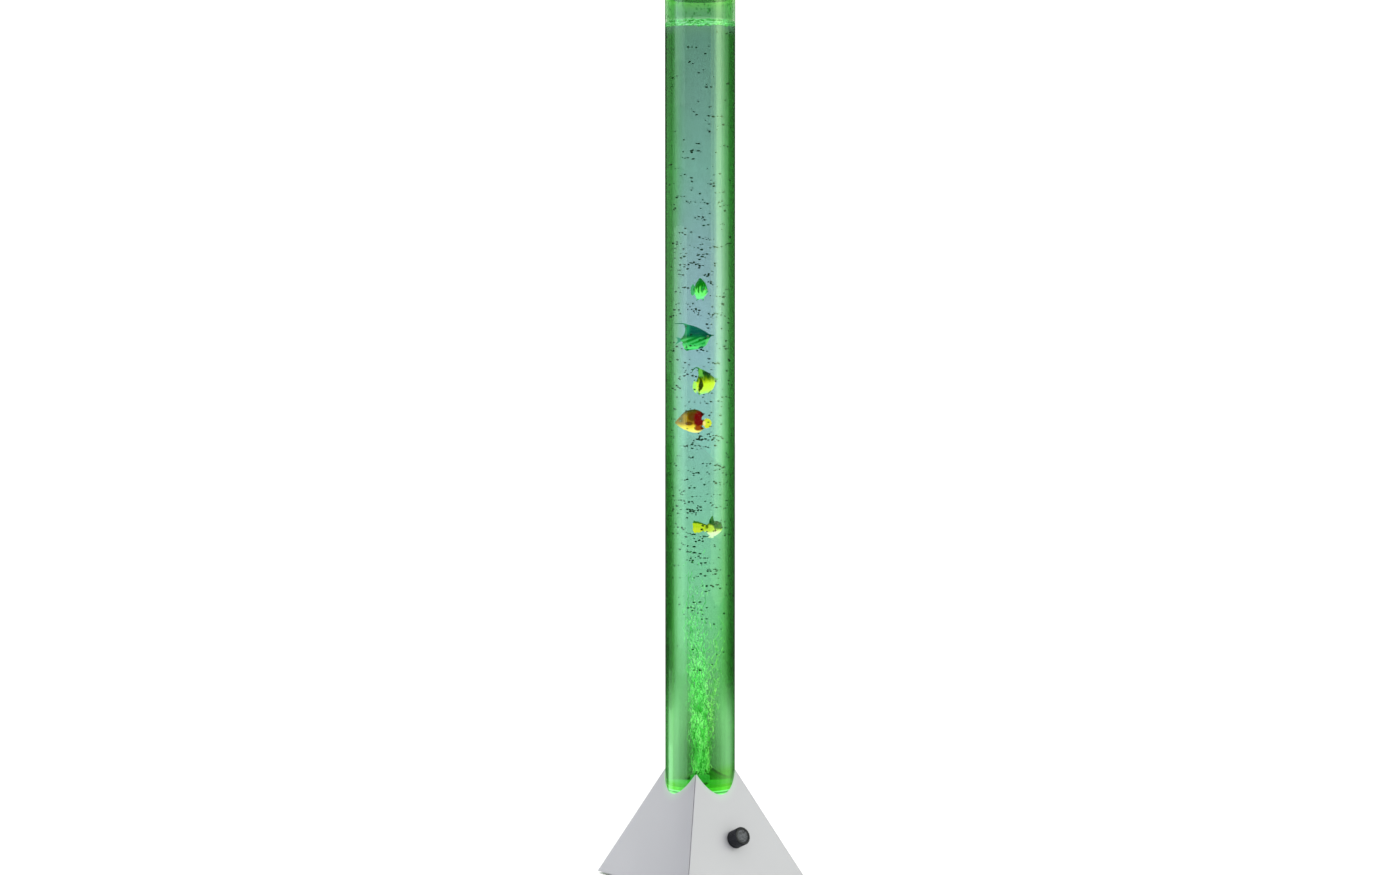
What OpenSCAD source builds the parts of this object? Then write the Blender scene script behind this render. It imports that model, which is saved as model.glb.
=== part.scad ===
// Bubble tube floor lamp: a clear water-filled tube standing in a pyramid base.
// Units are millimetres, +Z is up, the origin is the centre of the footprint on the floor.
// The face of the base that carries the control knob looks towards -Y.

/* [Base] */
// Width of the square base at its bottom edge
base_w = 200; // [196:1:214]
// Height at which the four sloping faces would meet, above the bottom edge
apex_h = 217; // [210:1:232]
// Thickness of the painted sheet of the cover
sheet_t = 1.5; // [1:0.1:1.8]
// Height of the rubber feet
foot_h = 3; // [2.6:0.1:4]
// Thickness of the bottom plate
plate_t = 2; // [1.5:0.1:2.2]
// Radius of a rubber foot
foot_r = 11; // [8:0.5:12]
// Distance of the feet from the middle, along X and along Y
foot_xy = 78; // [72:1:80]

/* [Tube] */
// Outside diameter of the clear tube
tube_d = 94; // [90:0.5:95]
// Wall thickness of the clear tube
tube_wall = 3; // [2.5:0.1:4]
// Height of the upper end of the tube above the floor
tube_top = 1194; // [1190:1:1400]
// Height of the lower end of the tube above the floor
tube_bottom = 63; // [60:1:70]
// Thickness of the clear plug glued into the tube
plug_t = 12; // [9:0.5:14]
// Height of the plug's upper face, the floor of the water
plug_top = 127; // [126:0.5:132]

/* [Lid] */
// Height of the lid's rim above the tube's end
lid_rim_h = 6; // [5:0.5:10]
// How far the lid's rim stands out past the tube
lid_over = 1.5; // [1:0.1:3]
// Depth of the lid's spigot inside the tube
lid_spigot = 14; // [10:0.5:20]

/* [Control knob] */
// Diameter of the knob
knob_d = 24.5; // [18:0.5:28]
// Height of the knob's end face above the cover
knob_h = 19.7; // [16:0.1:24]
// Height of the knob's axis on the face, above the bottom edge of the cover
knob_z = 57; // [52:0.5:60]
// Number of flutes around the knob
knob_flutes = 30; // [16:1:36]

/* [Fish] */
// Height of the fish above the floor, from the top one down
fish_1_z = 794; // [790:1:1000]
// Height of the second fish
fish_2_z = 728; // [727:1:730]
// Height of the third fish
fish_3_z = 669; // [668:1:670]
// Height of the fourth fish
fish_4_z = 617; // [615:1:618]
// Height of the lowest fish
fish_5_z = 475; // [300:1:500]
// Length of a fish from its snout to the end of its tail
fish_len = 40; // [36:1:42]

/* [Hidden] */
$fn = 64;

half = base_w / 2;
slope = half / apex_h;                      // inward run of a face per millimetre of height
tau = atan(slope);                          // lean of the faces from the vertical
sheet_x = sheet_t / cos(tau);               // sheet thickness measured level
tube_r = tube_d / 2;
bore_r = tube_r - tube_wall;
plate_z = foot_h;                           // underside of the bottom plate
floor_z = plate_z + plate_t;                // inside floor of the base
plate_half = half - sheet_x - 1.15;
socket_r = tube_r + 4;
socket_top = 100;
led_z = 94;                                 // underside of the round light board
hose_z = 19.5;
knob_y = -(half - slope * knob_z);
jack_z = 22;                                // height of the inlet on the rear face, above the cover's edge
jack_y = half - slope * jack_z;
corner_d = 70;                              // distance of the pump and the board from the middle
fit_gap = 0.05;

// ---------- helpers ----------

// All space behind one sloping face that starts at half-width w and height z0
module face_space(w, z0) {
    translate([0, -w, z0]) rotate([90 - tau, 0, 0]) translate([-400, -400, -400]) cube([800, 800, 400]);
}

// Solid four-sided pyramid with half-width w at height z0
module pyramid(w, z0) {
    intersection() {
        face_space(w, z0);
        rotate([0, 0, 90]) face_space(w, z0);
        rotate([0, 0, 180]) face_space(w, z0);
        rotate([0, 0, 270]) face_space(w, z0);
        translate([-w, -w, z0]) cube([2 * w, 2 * w, 400]);
    }
}

// Stands on the front face at the knob's axis, with +Z out of the face
module on_front() { translate([0, knob_y, foot_h + knob_z]) rotate([90 - tau, 0, 0]) children(); }
// Stands on the rear face at the inlet's axis, with +Z out of the face
module on_rear() { translate([0, jack_y, foot_h + jack_z]) rotate([tau - 90, 0, 0]) children(); }
// Frame of the pump: X towards the front left, Y inwards
module at_pump() { translate([-corner_d * sqrt(0.5), corner_d * sqrt(0.5), 0]) rotate([0, 0, 225]) children(); }
// Frame of the control board: X along the board, Y outwards
module at_board() { translate([corner_d * sqrt(0.5), corner_d * sqrt(0.5), 0]) rotate([0, 0, -45]) children(); }
// Children on the four sides at a distance
module four_sides(d) { for (a = [0 : 90 : 270]) rotate([0, 0, a]) translate([d, 0, 0]) children(); }
module hexagon(af, h) { cylinder(r = af / 2 / cos(30), h = h, $fn = 6); }

function unit(v) = v / norm(v);
function smooth_point(a, b, c, d, t) =
    0.5 * ((2 * b) + (c - a) * t + (2 * a - 5 * b + 4 * c - d) * t * t + (3 * b - a - 3 * c + d) * t * t * t);
// Smooth curve through the points of a route, with n steps for each stretch
function smooth_route(p, n) = concat(
    [for (i = [0 : len(p) - 2], k = [0 : n - 1])
        smooth_point(p[max(i - 1, 0)], p[i], p[i + 1], p[min(i + 2, len(p) - 1)], k / n)],
    [p[len(p) - 1]]);
function tangents(p) = [for (i = [0 : len(p) - 1]) unit(p[min(i + 1, len(p) - 1)] - p[max(i - 1, 0)])];
function carried(t, i, u) = i == len(t) ? [] :
    let (v = unit(u - (u * t[i]) * t[i])) concat([v], carried(t, i + 1, v));
function ring_points(p, t, u, r, sides) =
    [for (i = [0 : len(p) - 1], k = [0 : sides - 1])
        let (a = 360 * k / sides) p[i] + r * (cos(a) * u[i] + sin(a) * cross(t[i], u[i]))];

// Round solid swept along a route
module rod(route, r, sides, up) {
    p = route; t = tangents(p); u = carried(t, 0, up); n = len(p);
    polyhedron(
        points = ring_points(p, t, u, r, sides),
        faces = concat(
            [for (i = [0 : n - 2], k = [0 : sides - 1])
                let (a = i * sides + k, b = i * sides + (k + 1) % sides) [a, a + sides, b + sides, b]],
            [[for (k = [0 : sides - 1]) k]],
            [[for (k = [sides - 1 : -1 : 0]) (n - 1) * sides + k]]),
        convexity = 6);
}

// Hollow hose swept along a route
module hose(route, r_out, r_in, sides, up) {
    p = route; t = tangents(p); u = carried(t, 0, up); n = len(p); m = n * sides;
    polyhedron(
        points = concat(ring_points(p, t, u, r_out, sides), ring_points(p, t, u, r_in, sides)),
        faces = concat(
            [for (i = [0 : n - 2], k = [0 : sides - 1])
                let (a = i * sides + k, b = i * sides + (k + 1) % sides) [a, a + sides, b + sides, b]],
            [for (i = [0 : n - 2], k = [0 : sides - 1])
                let (a = m + i * sides + k, b = m + i * sides + (k + 1) % sides) [a, b, b + sides, a + sides]],
            [for (k = [0 : sides - 1]) let (k2 = (k + 1) % sides) [k, k2, m + k2, m + k]],
            [for (k = [0 : sides - 1]) let (k2 = (k + 1) % sides, e = (n - 1) * sides)
                [e + k2, e + k, m + e + k, m + e + k2]]),
        convexity = 8);
}

// Routes of the hoses and wires inside the base
route_hose_a = [[-63.5, 18.5, hose_z], [-66, 16, hose_z], [-69, 13, hose_z], [-74, 5.5, hose_z],
    [-76, -4, hose_z], [-76, -8, hose_z], [-76, -11.5, hose_z]];
route_hose_b = [[-76, -28.5, hose_z], [-76, -33, hose_z], [-76, -38, hose_z], [-73, -50, hose_z],
    [-64, -59, hose_z], [-52, -62, hose_z], [-40, -58.5, hose_z], [-32, -50, hose_z], [-24, -37, hose_z],
    [-13, -20, hose_z], [-4, -6, 26.5], [0, 0, 43.5], [0, 0, 60], [0, 0, 82], [0, 0, 104]];
route_wire_jack = [[0, 73.5, 17.5], [3, 70, 16], [11, 72, 17], [20, 77, 19], [26, 76, 19.5], [30, 72, 19.5]];
route_wire_pump = [[27, 69, 19.5], [22, 71, 17], [12, 68, 12], [0, 67, 10.5], [-11, 70, 11], [-19, 76, 14],
    [-24, 75.5, 17.5], [-26, 73.2, 18.6], [-28, 71, 18.6]];
route_wire_leds = [[9.5, 9.5, 93.8], [9.5, 9.5, 80], [10, 10, 50], [12, 12, 31], [20, 20, 20], [31, 31, 17.5], [40, 40, 17.6]];
route_wire_pot = [[0, -71.7, 43], [0, -72, 36], [5, -74, 22], [20, -74, 13], [40, -72, 11], [58, -60, 11],
    [70, -40, 12], [76, -15, 13], [78, 5, 14], [76, 19, 16.5], [69.8, 29.2, 17.6]];

// ---------- base ----------

module base_cover() {
    color([0.78, 0.78, 0.79]) difference() {
        union() {
            difference() {
                pyramid(half, plate_z);
                difference() {
                    translate([0, 0, -0.01]) pyramid(half - sheet_x, plate_z);
                    // folded tabs that the screws hold
                    four_sides(0) translate([80, -12, floor_z]) cube([40, 24, sheet_t]);
                }
                translate([-400, -400, -400]) cube([800, 800, 400 + plate_z]);
            }
        }
        // cut-out for the tube
        translate([0, 0, -1]) cylinder(r = tube_r + 0.4, h = 400);
        // hole for the bushing of the potentiometer
        on_front() translate([0, 0, -6]) cylinder(r = 3.6, h = 12);
        // hole for the power inlet
        on_rear() translate([0, 0, -6]) cylinder(r = 4.05, h = 12);
        // screw holes in the tabs
        four_sides(88) translate([0, 0, floor_z - 1]) cylinder(r = 2.1, h = 4);
    }
}

module bottom_plate() {
    color([0.35, 0.35, 0.36]) difference() {
        translate([-plate_half, -plate_half, plate_z]) cube([2 * plate_half, 2 * plate_half, plate_t]);
        four_sides(88) translate([0, 0, plate_z - 1]) cylinder(r = 2.2, h = plate_t + 2);
        four_sides(57) translate([0, 0, plate_z - 1]) cylinder(r = 2.2, h = plate_t + 2);
        for (x = [-1, 1], y = [-1, 1]) translate([x * foot_xy, y * foot_xy, plate_z - 1]) cylinder(r = 3 + fit_gap, h = plate_t + 2);
        // air slots beneath the pump and the board
        for (k = [-3 : 3]) {
            rotate([0, 0, 135]) translate([corner_d - 1.5 + 6 * k, -14, plate_z - 1]) cube([3, 28, plate_t + 2]);
            rotate([0, 0, 45]) translate([corner_d - 1.5 + 6 * k, -14, plate_z - 1]) cube([3, 28, plate_t + 2]);
        }
    }
}

module rubber_feet() {
    color([0.08, 0.08, 0.08]) for (x = [-1, 1], y = [-1, 1]) translate([x * foot_xy, y * foot_xy, 0])
        rotate_extrude() polygon([[0, 0], [foot_r - 1, 0], [foot_r, 1], [foot_r - 0.6, foot_h], [3, foot_h],
            [3, floor_z], [3.7, floor_z + 0.05], [2.4, floor_z + 1.8], [0, floor_z + 1.8]]);
}

// Pan head screw, head downwards, driven up from z = 0
module screw(r, l, head_r, head_h) {
    difference() {
        union() {
            translate([0, 0, -head_h]) cylinder(r = head_r, h = head_h);
            cylinder(r = r, h = l);
        }
        translate([-0.4, -head_r, -head_h - 1]) cube([0.8, 2 * head_r, 1.9]);
        translate([-head_r, -0.4, -head_h - 1]) cube([2 * head_r, 0.8, 1.9]);
    }
}

module cover_screws() { color([0.6, 0.6, 0.62]) four_sides(88) translate([0, 0, plate_z]) screw(1.95, 8, 3.8, 2); }
module socket_screws() { color([0.6, 0.6, 0.62]) four_sides(57) translate([0, 0, plate_z]) screw(1.95, 6, 3.8, 2); }
module weld_nuts() {
    color([0.65, 0.65, 0.66]) four_sides(88) translate([0, 0, floor_z + sheet_t]) difference() {
        hexagon(7, 3);
        translate([0, 0, -1]) cylinder(r = 2, h = 5);
    }
}

// ---------- tube and its foot ----------

module tube_socket() {
    color([0.16, 0.16, 0.17]) difference() {
        union() {
            translate([0, 0, floor_z]) cylinder(r = socket_r, h = socket_top - floor_z);
            four_sides(0) translate([40, -8, floor_z]) cube([23, 16, 4]);
        }
        // seat of the tube
        translate([0, 0, tube_bottom - 2]) cylinder(r = tube_r + 0.15, h = 100);
        translate([0, 0, floor_z + 4]) cylinder(r = 40.2, h = 100);
        // ways for the hose and the wires
        rotate([0, 0, 237]) translate([20, -6, floor_z + 4]) cube([60, 12, 17]);
        rotate([0, 0, 45]) translate([20, -6, floor_z + 4]) cube([60, 12, 17]);
        four_sides(57) translate([0, 0, floor_z - 1]) cylinder(r = 2, h = 6);
    }
}

module tube_cushion() {
    color([0.1, 0.1, 0.1]) translate([0, 0, tube_bottom - 2]) difference() {
        cylinder(r = tube_r, h = 2);
        translate([0, 0, -1]) cylinder(r = 41, h = 4);
    }
}

module clear_tube() {
    color([0.75, 0.95, 0.8, 0.35]) translate([0, 0, tube_bottom]) difference() {
        cylinder(r = tube_r, h = tube_top - tube_bottom);
        translate([0, 0, -1]) cylinder(r = bore_r, h = tube_top);
    }
}

module tube_plug() {
    color([0.75, 0.95, 0.8, 0.5]) difference() {
        translate([0, 0, plug_top - plug_t]) cylinder(r = bore_r - fit_gap, h = plug_t);
        translate([0, 0, plug_top - plug_t - 1]) cylinder(r = 4.05, h = plug_t + 2);
    }
}

module air_nipple() {
    color([0.85, 0.85, 0.82]) difference() {
        union() {
            translate([0, 0, 92]) cylinder(r = 1.85, h = 16);
            translate([0, 0, 104.2]) cylinder(r = 4, h = plug_top + 1 - 104.2);
            translate([0, 0, plug_top + 1]) cylinder(r = 8, h = 2);
            translate([0, 0, plug_top + 3]) cylinder(r = 3, h = 4);
        }
        translate([0, 0, 90]) cylinder(r = 1, h = 60);
    }
}

module nipple_seal() {
    color([0.1, 0.1, 0.1]) translate([0, 0, plug_top]) difference() {
        cylinder(r = 8, h = 1);
        translate([0, 0, -1]) cylinder(r = 4.05, h = 3);
    }
}

module nipple_nut() {
    color([0.85, 0.85, 0.82]) translate([0, 0, plug_top - plug_t - 4]) difference() {
        hexagon(14, 4);
        translate([0, 0, -1]) cylinder(r = 4 + fit_gap, h = 6);
    }
}

module air_stone() {
    color([0.55, 0.6, 0.62]) translate([0, 0, plug_top + 3]) difference() {
        cylinder(r = 10, h = 9);
        translate([0, 0, -1]) cylinder(r = 3 + fit_gap, h = 5.5);
    }
}

// ---------- light ----------

module led_carrier() {
    color([0.93, 0.93, 0.92]) difference() {
        translate([0, 0, floor_z + 4]) cylinder(r = 40, h = led_z - floor_z - 4);
        translate([0, 0, floor_z]) cylinder(r = 38, h = led_z - 8 - floor_z);
        translate([0, 0, 0]) cylinder(r = 16, h = 200);
        rotate([0, 0, 237]) translate([20, -6, floor_z]) cube([60, 12, 21]);
        rotate([0, 0, 45]) translate([20, -6, floor_z]) cube([60, 12, 21]);
        for (a = [0 : 120 : 240]) rotate([0, 0, a]) translate([34.5, 0, led_z - 10]) cylinder(r = 1.5, h = 20);
    }
}

module led_board() {
    color([0.9, 0.92, 0.9]) translate([0, 0, led_z]) difference() {
        cylinder(r = 39.5, h = 1.6);
        translate([0, 0, -1]) cylinder(r = 8, h = 4);
        for (a = [0 : 120 : 240]) rotate([0, 0, a]) translate([34.5, 0, -1]) cylinder(r = 1.6, h = 4);
    }
}

module leds() {
    color([0.95, 0.95, 0.7]) translate([0, 0, led_z + 1.6]) {
        for (a = [15 : 30 : 345]) rotate([0, 0, a]) translate([27, 0, 0]) led();
        for (a = [0 : 60 : 300]) rotate([0, 0, a]) translate([15, 0, 0]) led();
    }
}
// Square light chip with a round window
module led() {
    difference() {
        translate([-2.5, -2.5, 0]) cube([5, 5, 1.6]);
        translate([0, 0, 1.3]) cylinder(r = 2, h = 1);
    }
}

module led_screws() {
    color([0.6, 0.6, 0.62]) for (a = [0 : 120 : 240]) rotate([0, 0, a]) translate([34.5, 0, led_z + 1.6])
        mirror([0, 0, 1]) screw(1.45, 7, 2.6, 1.6);
}

// ---------- air line ----------

module hose_to_valve() { color([0.85, 0.9, 0.88]) hose(smooth_route(route_hose_a, 3), 3, 2.1, 10, [0, 0, 1]); }
module hose_to_tube() { color([0.85, 0.9, 0.88]) hose(smooth_route(route_hose_b, 3), 3, 2.1, 10, [0, 0, 1]); }

module check_valve() {
    color([0.2, 0.35, 0.6]) translate([-76, 0, hose_z]) rotate([90, 0, 0]) difference() {
        union() {
            translate([0, 0, 4]) cylinder(r = 1.85, h = 32);
            translate([0, 0, 12]) cylinder(r = 6, h = 16);
            translate([0, 0, 18.5]) cylinder(r = 6.8, h = 3);
        }
        translate([0, 0, 3]) cylinder(r = 1, h = 34);
    }
}

module valve_cradle() {
    color([0.16, 0.16, 0.17]) difference() {
        translate([-84, -27.5, floor_z]) cube([16, 5, hose_z - floor_z]);
        translate([-76, 0, hose_z]) rotate([90, 0, 0]) cylinder(r = 6 + fit_gap, h = 60);
    }
}

// ---------- air pump ----------

pump_l = 62;
pump_w = 34;
pump_z = 9;                                 // underside of the pump, on its rubber mounts
pump_h = 20;
pivot_x = 24;

module pump_mounts() {
    color([0.1, 0.1, 0.1]) at_pump() for (x = [-24, 24], y = [-11, 11]) translate([x, y, floor_z]) cylinder(r = 4, h = pump_z - floor_z);
}

module pump_housing() {
    color([0.25, 0.27, 0.3]) at_pump() difference() {
        union() {
            difference() {
                translate([-pump_l / 2, -pump_w / 2, pump_z]) cube([pump_l, pump_w, pump_h]);
                translate([-pump_l / 2 + 2, -pump_w / 2 + 2, pump_z + 2]) cube([pump_l - 4, pump_w - 4, pump_h]);
            }
            // pivot post of the lever
            translate([pivot_x, 0, pump_z + 2]) cylinder(r = 3, h = 2);
            translate([pivot_x, 0, pump_z + 2]) cylinder(r = 1.5, h = 17.5);
        }
        // way for the outlet
        translate([20, 12, hose_z]) rotate([0, 90, 0]) cylinder(r = 2.6, h = 20);
        // way for the supply wires
        translate([-pump_l / 2 - 1, -1.6, 17]) cube([4, 3.2, 3.4]);
    }
}

module pump_lid() {
    color([0.2, 0.22, 0.25]) at_pump() {
        translate([-pump_l / 2, -pump_w / 2, pump_z + pump_h]) cube([pump_l, pump_w, 1.5]);
        translate([-pump_l / 2 + 2.2, -pump_w / 2 + 2.2, pump_z + pump_h - 1]) difference() {
            cube([pump_l - 4.4, pump_w - 4.4, 1]);
            translate([1.5, 1.5, -1]) cube([pump_l - 7.4, pump_w - 7.4, 3]);
        }
    }
}

module pump_core() {
    color([0.45, 0.44, 0.42]) at_pump() translate([-28, 0, hose_z - 5]) {
        translate([0, -13, 0]) cube([5, 26, 9]);
        for (y = [-13, -3, 9]) translate([4.9, y, 0]) cube([16.1, y == -3 ? 6 : 4, 9]);
    }
}

module pump_coil() {
    color([0.72, 0.4, 0.2]) at_pump() difference() {
        union() {
            translate([-22.5, -8.2, pump_z + 2.5]) cube([1.2, 16.4, 16]);
            translate([-10.2, -8.2, pump_z + 2.5]) cube([1.2, 16.4, 16]);
            translate([-21.4, -7.4, pump_z + 3.1]) cube([11.4, 14.8, 14.8]);
        }
        translate([-40, -3.1, hose_z - 5.1]) cube([60, 6.2, 9.2]);
    }
}

// Arm that swings about the upright pivot post and works the rubber cup
module pump_lever() {
    color([0.9, 0.9, 0.88]) at_pump() difference() {
        union() {
            translate([0.2, -2, hose_z - 4]) cube([22, 4, 8]);
            translate([pivot_x, 0, hose_z - 5]) cylinder(r = 4, h = 10);
            translate([10, 1.5, hose_z]) rotate([-90, 0, 0]) cylinder(r = 2, h = 2.2);
            translate([-1, -5.5, hose_z - 4.5]) cube([1.3, 11, 9]);
        }
        translate([pivot_x, 0, 0]) cylinder(r = 1.5 + fit_gap, h = 60);
    }
}

module pump_magnet() {
    color([0.5, 0.5, 0.55]) at_pump() translate([-5, -5, hose_z - 4]) cube([4, 10, 8]);
}

module pump_diaphragm() {
    color([0.12, 0.12, 0.12]) at_pump() translate([10, 9, hose_z]) rotate([90, 0, 0]) difference() {
        union() {
            cylinder(r1 = 7, r2 = 5, h = 3.6);
            cylinder(r = 3, h = 4.5);
        }
        translate([0, 0, -0.1]) cylinder(r1 = 5.6, r2 = 3.4, h = 2.4);
    }
}

module pump_valve_box() {
    color([0.3, 0.32, 0.36]) at_pump() difference() {
        union() {
            translate([1, 9, pump_z + 3]) cube([18, 6, 15]);
            translate([19, 12, hose_z]) rotate([0, 90, 0]) cylinder(r = 2.5, h = 12.3);
            translate([19, 12, hose_z]) rotate([0, 90, 0]) cylinder(r = 1.85, h = 20);
        }
        translate([14, 12, hose_z]) rotate([0, 90, 0]) cylinder(r = 1, h = 30);
    }
}

// ---------- electrics ----------

board_z = 13;

module board_standoffs() {
    color([0.75, 0.7, 0.5]) at_board() for (x = [-26, 26], y = [-14, 14]) translate([x, y, floor_z]) cylinder(r = 2.8, h = board_z - floor_z);
}

module control_board() {
    color([0.1, 0.35, 0.2]) at_board() difference() {
        translate([-30, -18, board_z]) cube([60, 36, 1.6]);
        for (x = [-26, 26], y = [-14, 14]) translate([x, y, board_z - 1]) cylinder(r = 1.6, h = 4);
    }
}

module board_parts() {
    color([0.12, 0.12, 0.13]) at_board() translate([0, 0, board_z + 1.6]) {
        translate([-29, -5, 0]) cube([9, 10, 9]);          // supply terminals
        translate([-4, -13, 0]) cube([8, 5, 6]);           // connector of the light board
        translate([20, -4, 0]) cube([8, 8, 6]);            // connector of the potentiometer
        translate([-14, 6, 0]) cylinder(r = 4, h = 11);    // capacitors
        translate([-3, 9, 0]) cylinder(r = 3.2, h = 8);
        translate([6, 2, 0]) cube([10, 12, 8]);            // driver of the pump
        translate([-15, -6, 0]) cube([6, 8, 1.6]);         // chips
        translate([8, -12, 0]) cube([7, 7, 1.6]);
    }
}

module potentiometer() {
    color([0.55, 0.55, 0.5]) on_front() difference() {
        union() {
            translate([0, 0, -sheet_t - 9.55]) cylinder(r = 8.3, h = 9.5);
            translate([0, 0, -sheet_t - 1]) cylinder(r = 3.45, h = sheet_t + 1 + 5.5);
            for (x = [-5, 0, 5]) translate([x - 0.7, -13.5, -9.5]) cube([1.4, 8.5, 0.8]);
        }
        translate([0, 0, -10]) cylinder(r = 3.05, h = 30);
    }
}

module pot_nut() {
    color([0.75, 0.75, 0.76]) on_front() difference() {
        hexagon(10, 2.2);
        translate([0, 0, -1]) cylinder(r = 3.5, h = 5);
    }
}

module pot_shaft() {
    color([0.8, 0.8, 0.8]) on_front() difference() {
        translate([0, 0, -9.8]) cylinder(r = 3, h = 9.8 + knob_h - 3.2);
        translate([-4, 1.5, 8]) cube([8, 4, 20]);
    }
}

module control_knob() {
    color([0.06, 0.06, 0.065]) on_front() rotate([0, 0, -45]) difference() {
        union() {
            translate([0, 0, 0.9]) cylinder(r = knob_d / 2, h = knob_h - 1.9);
            translate([0, 0, knob_h - 1.001]) cylinder(r1 = knob_d / 2, r2 = knob_d / 2 - 0.9, h = 1.001);
        }
        // flutes
        for (a = [0 : 360 / knob_flutes : 359.9]) rotate([0, 0, a]) translate([knob_d / 2 + 0.35, 0, 3]) cylinder(r = 0.85, h = knob_h, $fn = 16);
        // dished end face
        translate([0, 0, knob_h - 1.2]) cylinder(r = knob_d / 2 - 3, h = 3);
        // pointer
        translate([-0.6, knob_d / 2 - 8, knob_h - 1.7]) cube([1.2, 12, 3]);
        // room for the nut, and the bore for the shaft
        translate([0, 0, 0]) cylinder(r = 8.5, h = 6.2);
        difference() {
            translate([0, 0, 0]) cylinder(r = 3.02, h = knob_h - 3.1);
            rotate([0, 0, 45]) translate([-4, 1.55, 8]) cube([8, 4, 20]);
        }
    }
}

module dc_jack() {
    color([0.08, 0.08, 0.08]) on_rear() {
        difference() {
            union() {
                cylinder(r = 5.6, h = 1.8);
                translate([0, 0, -13]) cylinder(r = 3.95, h = 13.5);
            }
            translate([0, 0, -8.5]) cylinder(r = 2.8, h = 20);
        }
        translate([0, 0, -9]) cylinder(r = 1.05, h = 10);
        for (x = [-2, 2]) translate([x - 0.6, -0.3, -16.5]) cube([1.2, 0.6, 4]);
    }
}

module jack_nut() {
    color([0.75, 0.75, 0.76]) on_rear() translate([0, 0, -sheet_t - 2.55]) difference() {
        hexagon(11, 2.5);
        translate([0, 0, -1]) cylinder(r = 4, h = 5);
    }
}

module wire_jack() { color([0.1, 0.1, 0.1]) rod(smooth_route(route_wire_jack, 4), 1.1, 8, [0, 0, 1]); }
module wire_pump() { color([0.1, 0.1, 0.1]) rod(smooth_route(route_wire_pump, 4), 1.1, 8, [0, 0, 1]); }
module wire_leds() { color([0.8, 0.8, 0.8]) rod(smooth_route(route_wire_leds, 4), 1.3, 8, [1, -1, 0]); }
module wire_pot() { color([0.8, 0.8, 0.8]) rod(smooth_route(route_wire_pot, 4), 1.3, 8, [1, 0, 0]); }

// ---------- lid ----------

lid_r = tube_r + lid_over;
spigot_r = bore_r - 0.4;

module lid() {
    color([0.78, 0.78, 0.79]) difference() {
        translate([0, 0, tube_top]) rotate_extrude() polygon([
            [2.5, -lid_spigot], [spigot_r - 0.6, -lid_spigot], [spigot_r, -lid_spigot + 0.6], [spigot_r, 0.3],
            [lid_r, 0.3], [lid_r, lid_rim_h - 1.2], [lid_r - 1.2, lid_rim_h],
            [lid_r - 9, lid_rim_h], [lid_r - 10, lid_rim_h - 1.6], [2.5, lid_rim_h - 1.6]]);
        // hollow of the spigot
        translate([0, 0, tube_top - lid_spigot - 1]) cylinder(r = spigot_r - 3.6, h = lid_spigot + 1);
        // groove of the seal
        translate([0, 0, tube_top - 7]) rotate_extrude() translate([spigot_r - 0.9, 0]) circle(r = 1.3);
    }
}

module lid_seal() {
    color([0.1, 0.1, 0.1]) translate([0, 0, tube_top - 7]) rotate_extrude() translate([spigot_r - 0.9, 0]) circle(r = 1.25);
}

// ---------- fish ----------

// Place of a fish: s sideways and d deep as seen from the corner view, then turned by yaw
view_az = 38.3;
module fish_at(s, d, z, yaw) { rotate([0, 0, -view_az]) translate([s, d, z]) rotate([0, 0, yaw]) children(); }

// Plump body with an outline of flat fins. +X is the snout, the body is t thick and h tall
module fish(h, t, fin) {
    body_l = fish_len * 0.72;
    translate([fish_len * 0.5 - body_l / 2, 0, 0]) scale([body_l / h, t / h, 1]) sphere(d = h, $fn = 24);
    rotate([90, 0, 0]) translate([0, 0, -0.8]) linear_extrude(1.6) polygon(fin);
}
k = fish_len;
fin_round = [[-0.5 * k, 0.2 * k], [-0.42 * k, 0.02 * k], [-0.5 * k, -0.2 * k], [-0.24 * k, -0.07 * k], [-0.1 * k, -0.38 * k],
    [0.12 * k, -0.3 * k], [0.3 * k, 0], [0.1 * k, 0.33 * k], [-0.12 * k, 0.42 * k], [-0.24 * k, 0.07 * k]];
fin_tall = [[-0.5 * k, 0.15 * k], [-0.43 * k, 0.0], [-0.5 * k, -0.17 * k], [-0.25 * k, -0.06 * k], [-0.16 * k, -0.4 * k],
    [0.1 * k, -0.28 * k], [0.3 * k, 0], [0.05 * k, 0.34 * k], [-0.38 * k, 0.5 * k], [-0.25 * k, 0.07 * k]];

module fish_1() { color([0.1, 0.6, 0.3]) fish_at(0, 0, fish_1_z, -58) fish(0.56 * k, 0.28 * k, fin_round); }
module fish_2() { color([0.05, 0.45, 0.3]) fish_at(-6, 0, fish_2_z, 4) fish(0.58 * k, 0.28 * k, fin_tall); }
module fish_3() { color([0.6, 0.75, 0.1]) fish_at(4, 0, fish_3_z, 52) fish(0.58 * k, 0.28 * k, fin_tall); }
module fish_4() { color([0.85, 0.5, 0.1]) fish_at(-6, 0, fish_4_z, 176) fish(0.52 * k, 0.28 * k, fin_round); }
module fish_5() { color([0.7, 0.8, 0.1]) fish_at(5, 0, fish_5_z, 40) fish(0.5 * k, 0.28 * k, fin_round); }

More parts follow.
